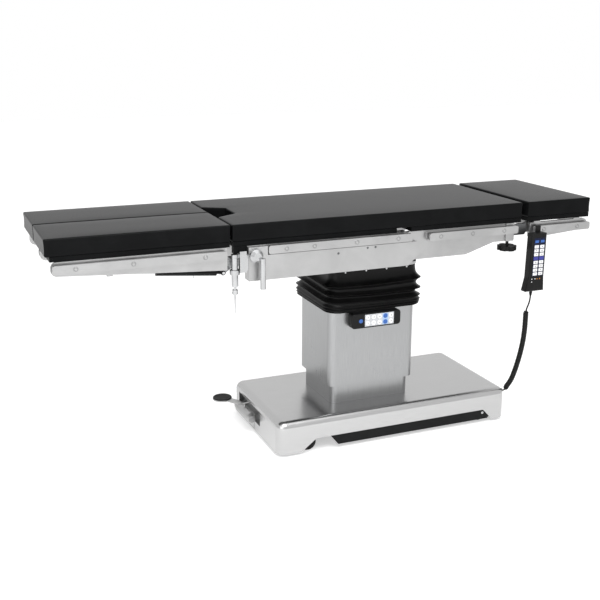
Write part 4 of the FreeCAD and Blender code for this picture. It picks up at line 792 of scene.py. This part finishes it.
def strain_reliefs():
    """Tapered sleeves with three rings, where the cord leaves the hand control and the base's port."""
    sleeve = [
        (0, 0.001), (0.0068, 0.001), (0.0068, -0.004), (0.0058, -0.0045), (0.0058, -0.007), (0.0064, -0.0075),
        (0.0062, -0.010), (0.0052, -0.0105), (0.0051, -0.013), (0.0057, -0.0135), (0.0055, -0.016),
        (0.0046, -0.0165), (0.0042, -0.0205), (0.0036, -0.0215), (0, -0.0215),
    ]
    top = corners("handset_body")[0][2] + 0.020
    relief = lathe(sleeve, (GLAND[0], GLAND[1], top), "z", 24)
    add_piece("handset_relief", [relief], MATERIALS["black plastic"], "handset")
    nut = [
        (0, 0), (0.0098, 0), (0.0098, 0.009), (0.0088, 0.010), (0.0062, 0.0105), (0.0052, 0.0145),
        (0.0040, 0.0150), (0, 0.0150),
    ]
    low, high = corners("cord_port")
    middle = (low + high) / 2
    port = lathe(nut, (low[0], middle[1], middle[2]), "x", 24)
    add_piece("port_nut", [port], MATERIALS["black plastic"], "base")


# Keys and lamps of the hand control and of the column's panel
def rounded_key(x, z, width, height, face, thickness=0.0011):
    """A flat key with round edges on a face that looks to -Y."""
    low = (x - width / 2, face - thickness, z - height / 2)
    high = (x + width / 2, face + 0.0006, z + height / 2)
    return rounded_box(low, high, 0.0008, (2, 1, 2))


def handset_keys():
    """The window plate with two columns of keys: displays, three white rows, a blue one, four white."""
    face = corners("handset_body")[0][1]
    front = face - 0.0008
    plate = rounded_box((0.7785, front, 0.6285), (0.8300, face + 0.001, 0.7830), 0.0009, (4, 1, 8))
    columns = (0.7912, 0.8170)
    pitch, first, blue_row, display_row = 0.0157, 0.7480, 3, 0.7690
    rows = [first - pitch * i for i in range(8)]
    plain = [(x, z, i + j) for j, x in enumerate(columns) for i, z in enumerate(rows) if i != blue_row]
    lamp = [(0, 0.0011), (0.0016, 0.0009), (0.0023, 0.0003), (0.0024, -0.001), (0, -0.001)]
    lamps = {
        "lamp white": ((0.780, 0.6175), (0.7945, 0.6172), (0.7797, 0.6057)),
        "lamp amber": ((0.8045, 0.6170), (0.8162, 0.6167)),
    }

    def add(name, parts, finish, replaces=()):
        add_piece(f"handset_{name}", parts, MATERIALS[finish], "handset", replaces)

    add("window", [plate], "key window", ["handset_keypad"])
    add("keys_white", [rounded_key(x, z, 0.0196, 0.0126, front) for x, z, _ in plain], "white key")
    add("keys_blue", [rounded_key(x, rows[blue_row], 0.0216, 0.0140, front) for x in columns], "violet key")
    add("displays", [rounded_key(x, display_row, 0.0170, 0.0100, front, 0.0006) for x in columns], "blue key")
    add("key_marks", [key_mark(x, z, face - 0.0019, kind) for x, z, kind in plain], "mark")
    for name, places in lamps.items():
        add(name.replace(" ", "_"), [flip_y(lathe(lamp, (x, 0, z), "y", 12), face) for x, z in places], name)


def key_mark(x, z, face, kind):
    """A plain mark on a key: an up or down arrowhead, or a bar, as a flat sliver."""
    size = 0.0026
    shapes = (
        [(-1, -0.7), (1, -0.7), (0.15, 0.9), (-0.15, 0.9)],
        [(-0.15, -0.9), (0.15, -0.9), (1, 0.7), (-1, 0.7)],
        [(-1.1, -0.35), (1.1, -0.35), (1.1, 0.35), (-1.1, 0.35)],
    )
    outline = np.array(shapes[kind % 3]) * size
    front = np.stack([x + outline[:, 0], np.full(4, face - 0.00012), z + outline[:, 1]], 1)
    back = front + (0, 0.0004, 0)
    centre = [np.repeat(side.mean(0)[None], 4, 0) for side in (front, back)]
    return grid_part(np.stack([centre[0], front, back, centre[1]]), close_columns=True)


def panel_keys():
    """The light plate with two rows of five round keys, the fourth pair blue, and the lamp beside it."""
    low, high = corners("panel_keypad")
    face = corners("panel_housing")[0][1]
    length, height, columns, blue_column = 0.126, 0.048, 5, 3
    left, step = high[0] - length, length / columns
    plate = rounded_box((left, face - 0.0012, low[2]), (high[0], face + 0.001, high[2]), 0.0011, (6, 1, 3))
    field_low = (left + step * blue_column, face - 0.0015, low[2] + 0.0012)
    field_high = (left + step * (blue_column + 1), face - 0.0008, high[2] - 0.0012)
    rows = [low[2] + height * share for share in (0.25, 0.75)]
    places = [(left + step * (i + 0.5), z, i) for i in range(columns) for z in rows]
    key = [(0, 0.0016), (0.0060, 0.0016), (0.0082, 0.0014), (0.0094, 0.0007), (0.0096, -0.001), (0, -0.001)]
    discs = [(flip_y(lathe(key, (x, 0, z), "y", 24), face - 0.0012), i == blue_column) for x, z, i in places]
    marks = [key_mark(x, z, face - 0.0028, i) for x, z, i in places if i != blue_column]
    lamp = [(0, 0.0024)] + arc((0.0058, -0.0002), 0.0026, 90, 0, 5) + [(0.0084, -0.001), (0, -0.001)]
    lamp_place = (low[0] + 0.009, 0, (low[2] + high[2]) / 2)

    def add(name, parts, finish, replaces=()):
        add_piece(f"panel_{name}", parts, MATERIALS[finish], "column", replaces)

    add("plate", [plate], "key plate", ["panel_keypad"])
    add("blue_field", [rounded_box(field_low, field_high, 0.0003, (3, 1, 3))], "pale blue")
    add("keys_white", [disc for disc, blue in discs if not blue], "white key")
    add("keys_blue", [disc for disc, blue in discs if blue], "blue key")
    add("key_marks", marks, "mark")
    add("lamp", [flip_y(lathe(lamp, lamp_place, "y", 24), face)], "blue key")


# Screws: round heads over the ends of the CAD's screws on the rails, and flat ones with a socket elsewhere
def screw_head(radius, stand, recess=0.4):
    """A head's profile: a socket in the middle, a flat ring, a rounded rim, down to the surface."""
    floor = stand - 0.0007
    return [
        (0, floor), (radius * recess, floor), (radius * recess * 1.06, stand), (radius * 0.80, stand),
        (radius * 0.95, stand - 0.0004), (radius, stand - 0.0009), (radius, 0), (0, 0),
    ]


def rail_screws():
    """Round heads over the ends of the CAD's screws: a domed middle in a groove and a flat rim; groove and
    rim are a darker steel, painted shade of the groove.
    """
    rail_faces = {"leg": 0.815, "seat": 0.821, "back": 0.815, "head": 0.807}
    places = {
        "leg": (-0.991, -0.801, -0.552), "seat": (-0.253, -0.145, 0.024, 0.194),
        "back": (0.377, 0.518, 0.661), "head": (0.849, 1.011),
    }
    rim, groove_out, groove_in, stand = 0.0084, 0.0076, 0.0048, 0.0018
    head = [(0, stand), (groove_in * 0.8, stand), (groove_in, stand - 0.0003), (groove_in, 0), (0, 0)]
    groove = [
        (groove_in * 0.9, 0), (groove_in * 0.9, stand - 0.0005), (groove_out, stand - 0.0003),
        (rim, stand - 0.0010), (rim, 0),
    ]
    face = corners("seat_frame")[0][1] + 0.001
    for section, xs in places.items():
        for side in ("near", "far"):
            body = f"leg_{side}" if section == "leg" else section
            # The ring of groove and rim takes the darker steel as painted shade; the domed middle stays frame
            # metal.
            for name, profile, finish in (("heads", head, "frame metal"), ("rims", groove, "ring steel")):
                parts = [flip_y(lathe(profile, (x, 0, rail_faces[section]), "y", 20), face) for x in xs]
                parts = [p if side == "near" else mirror_y(p) for p in parts]
                label = f"{section}_rail_screw_{name}_{side}"
                add_piece(label, parts, MATERIALS[finish], body)


def cover_screws():
    """Two sunk screws and a stud on each side cover of the seat, and a screw at each lock bar's head end."""
    face = corners("seat_side_covers")[0][1]
    sunk = screw_head(0.0046, 0.0012, 0.5)
    parts = []
    for x, z in ((0.068, 0.7965), (0.1005, 0.7965), (-0.050, 0.7856)):
        head = flip_y(lathe(sunk, (x, 0, z), "y", 16), face + 0.0003)
        parts += [head, mirror_y(head)]
    add_piece("cover_screws", parts, MATERIALS["dark steel"], "seat")
    bar = corners("floor_lock_bars")[0][1]
    head = flip_y(lathe(screw_head(0.0058, 0.0022), (0.629, 0, 0.046), "y", 18), bar + 0.0003)
    steel = MATERIALS["bright steel"]
    add_piece("lock_bar_screws", [head, mirror_y(head)], steel, "floor_lock")


def hub_caps():
    """A bright cap and a dull rim ring on both faces of each pair of wheels."""
    cap = [(0, 0.0016)] + arc((0.0036, -0.0002), 0.0016, 80, 0, 4) + [(0.0052, -0.001), (0, -0.001)]
    ring = [(0.0205, -0.001), (0.0205, 0.0005), (0.0215, 0.0009), (0.0228, 0.0005), (0.0228, -0.001)]
    for end in ("foot", "head"):
        for side in ("near", "far"):
            low, high = corners(f"caster_wheel_{end}_{side}")
            x, z = (low[0] + high[0]) / 2, (low[2] + high[2]) / 2
            for name, profile, finish in (("cap", cap, "bright steel"), ("rim", ring, "black plastic")):
                front = flip_y(lathe(profile, (x, 0, z), "y", 28), low[1])
                back = shift_part(lathe(profile, (x, 0, z), "y", 28), (0, high[1], 0))
                body = f"caster_wheel_{end}_{side}"
                add_piece(f"hub_{name}_{end}_{side}", [front, back], MATERIALS[finish], body)


# Pedal pad: an oval of rubber with raised ribs, dished a little. Its rim and ribs end at shares of its reach.
RIM_START, RIBS_END = 0.9, 0.82
RIB_PITCH, RIB_HEIGHT, PEDAL_DISH = 0.0085, 0.0011, 0.0012


def pedal_pad():
    low, high = corners("pedal_pad")
    centre, half = (low + high) / 2, (high - low) / 2
    rim = RIM_START + (1 - RIM_START) * np.sin(np.radians(np.linspace(0, 90, 6)))[1:]
    rings = np.concatenate([np.linspace(0, RIM_START, 24), rim])
    angle = np.arange(72) * TAU / 72
    x = rings[:, None] * np.cos(angle)[None] * half[0]
    y = rings[:, None] * np.sin(angle)[None] * half[1]
    over_rim = np.clip((rings - RIM_START) / (1 - RIM_START), 0, 1)
    edge = np.sqrt(np.clip(1 - over_rim**2, 0, 1))[:, None]
    inside = np.clip((RIBS_END - rings) / 0.05, 0, 1)[:, None]
    ribs = RIB_HEIGHT * np.clip(np.sin(TAU * x / RIB_PITCH) * 2, -1, 1) * inside
    dish = -PEDAL_DISH * (1 - rings[:, None] ** 2)
    thick = high[2] - low[2]
    top = low[2] + (thick - PEDAL_DISH) * (0.35 + 0.65 * edge) + ribs + dish
    upper = np.stack([centre[0] + x, centre[1] + y, top + np.zeros_like(x)], 2)
    foot = np.stack([centre[0] + x[-1] * 0.99, centre[1] + y[-1] * 0.99, np.full(len(angle), low[2])], 1)
    bottom = np.repeat(np.array([[centre[0], centre[1], low[2]]]), len(angle), 0)
    part = grid_part(np.concatenate([upper, foot[None], bottom[None]]), close_columns=True)
    add_piece("pedal_rubber", [part], MATERIALS["tread rubber"], "pedal", ["pedal_pad"])


# Floor, backdrop and lamps. The studio is lighter in front of the table than behind it.
FRONT_LEVEL, BACK_LEVEL = 0.9, 0.6
LAMPS = (
    ("front lamp", (-0.6, -2.0, 2.6), (-0.6, -1.9, 0), 1.8, 70),
    ("side lamp", (-3.2, -2.8, 1.7), (0.1, 0, 0.6), 2.8, 35),
    ("top lamp", (0.2, -0.6, 4.0), (0.2, 0, 0), 3.2, 20),
)


def seen_directly(tree, path):
    """1 for the camera's rays and those mirrored or let through by the table, 0 for those that light it."""
    mirrored = put(tree, "ShaderNodeMath", operation="MAXIMUM")
    seen = put(tree, "ShaderNodeMath", operation="MAXIMUM")
    tree.links.new(path.outputs["Is Glossy Ray"], mirrored.inputs[0])
    tree.links.new(path.outputs["Is Transmission Ray"], mirrored.inputs[1])
    tree.links.new(path.outputs["Is Camera Ray"], seen.inputs[0])
    tree.links.new(mirrored.outputs["Value"], seen.inputs[1])
    return seen.outputs["Value"]


def stage():
    side = 14.0
    mesh = bpy.data.meshes.new("floor")
    floor_corners = [(-side, -side, 0), (side, -side, 0), (side, side, 0), (-side, side, 0)]
    mesh.from_pydata(floor_corners, [], [(0, 1, 2, 3)])
    floor = bpy.data.objects.new("floor", mesh)
    bpy.context.scene.collection.objects.link(floor)
    material, tree, shader = start_material("pale floor", base_color=(0.80, 0.80, 0.80, 1), roughness=0.7)
    shader.inputs["Specular IOR Level"].default_value = 0.2
    path = put(tree, "ShaderNodeLightPath")
    seen = seen_directly(tree, path)
    lift = put(tree, "ShaderNodeEmission", strength=0.5)
    mixed = put(tree, "ShaderNodeAddShader")
    picked = put(tree, "ShaderNodeMixShader")
    out = tree.nodes["Material Output"]
    tree.links.new(shader.outputs["BSDF"], mixed.inputs[0])
    tree.links.new(lift.outputs["Emission"], mixed.inputs[1])
    tree.links.new(seen, picked.inputs["Fac"])
    tree.links.new(shader.outputs["BSDF"], picked.inputs[1])
    tree.links.new(mixed.outputs["Shader"], picked.inputs[2])
    tree.links.new(picked.outputs["Shader"], out.inputs["Surface"])
    mesh.materials.append(material)

    world = bpy.data.worlds.new("studio")
    bpy.context.scene.world = world
    world.use_nodes = True
    tree = world.node_tree
    background = tree.nodes["Background"]
    path = put(tree, "ShaderNodeLightPath")
    seen = seen_directly(tree, path)
    direction = put(tree, "ShaderNodeTexCoord")
    facing = put(tree, "ShaderNodeSeparateXYZ")
    level = put(tree, "ShaderNodeMapRange", from_min=-1.0, to_min=FRONT_LEVEL, to_max=BACK_LEVEL)
    white = put(tree, "ShaderNodeMix", data_type="FLOAT", b=1.0)
    tree.links.new(direction.outputs["Generated"], facing.inputs["Vector"])
    tree.links.new(facing.outputs["Y"], level.inputs["Value"])
    tree.links.new(seen, white.inputs["Factor"])
    tree.links.new(level.outputs["Result"], white.inputs["A"])
    tree.links.new(white.outputs["Result"], background.inputs["Strength"])
    background.inputs["Color"].default_value = (1, 1, 1, 1)

    for name, place, aim, size, power in LAMPS:
        data = bpy.data.lights.new(name, "AREA")
        data.size = size
        data.energy = power
        lamp = bpy.data.objects.new(name, data)
        bpy.context.scene.collection.objects.link(lamp)
        lamp.location = place
        lamp.rotation_euler = (Vector(aim) - Vector(place)).to_track_quat("-Z", "Y").to_euler()

    bpy.context.scene.view_settings.view_transform = "Standard"


add_camera()
handset_cord()
dress_nodes()
cushions()
bellows()
strain_reliefs()
handset_keys()
panel_keys()
rail_screws()
cover_screws()
hub_caps()
pedal_pad()
stage()
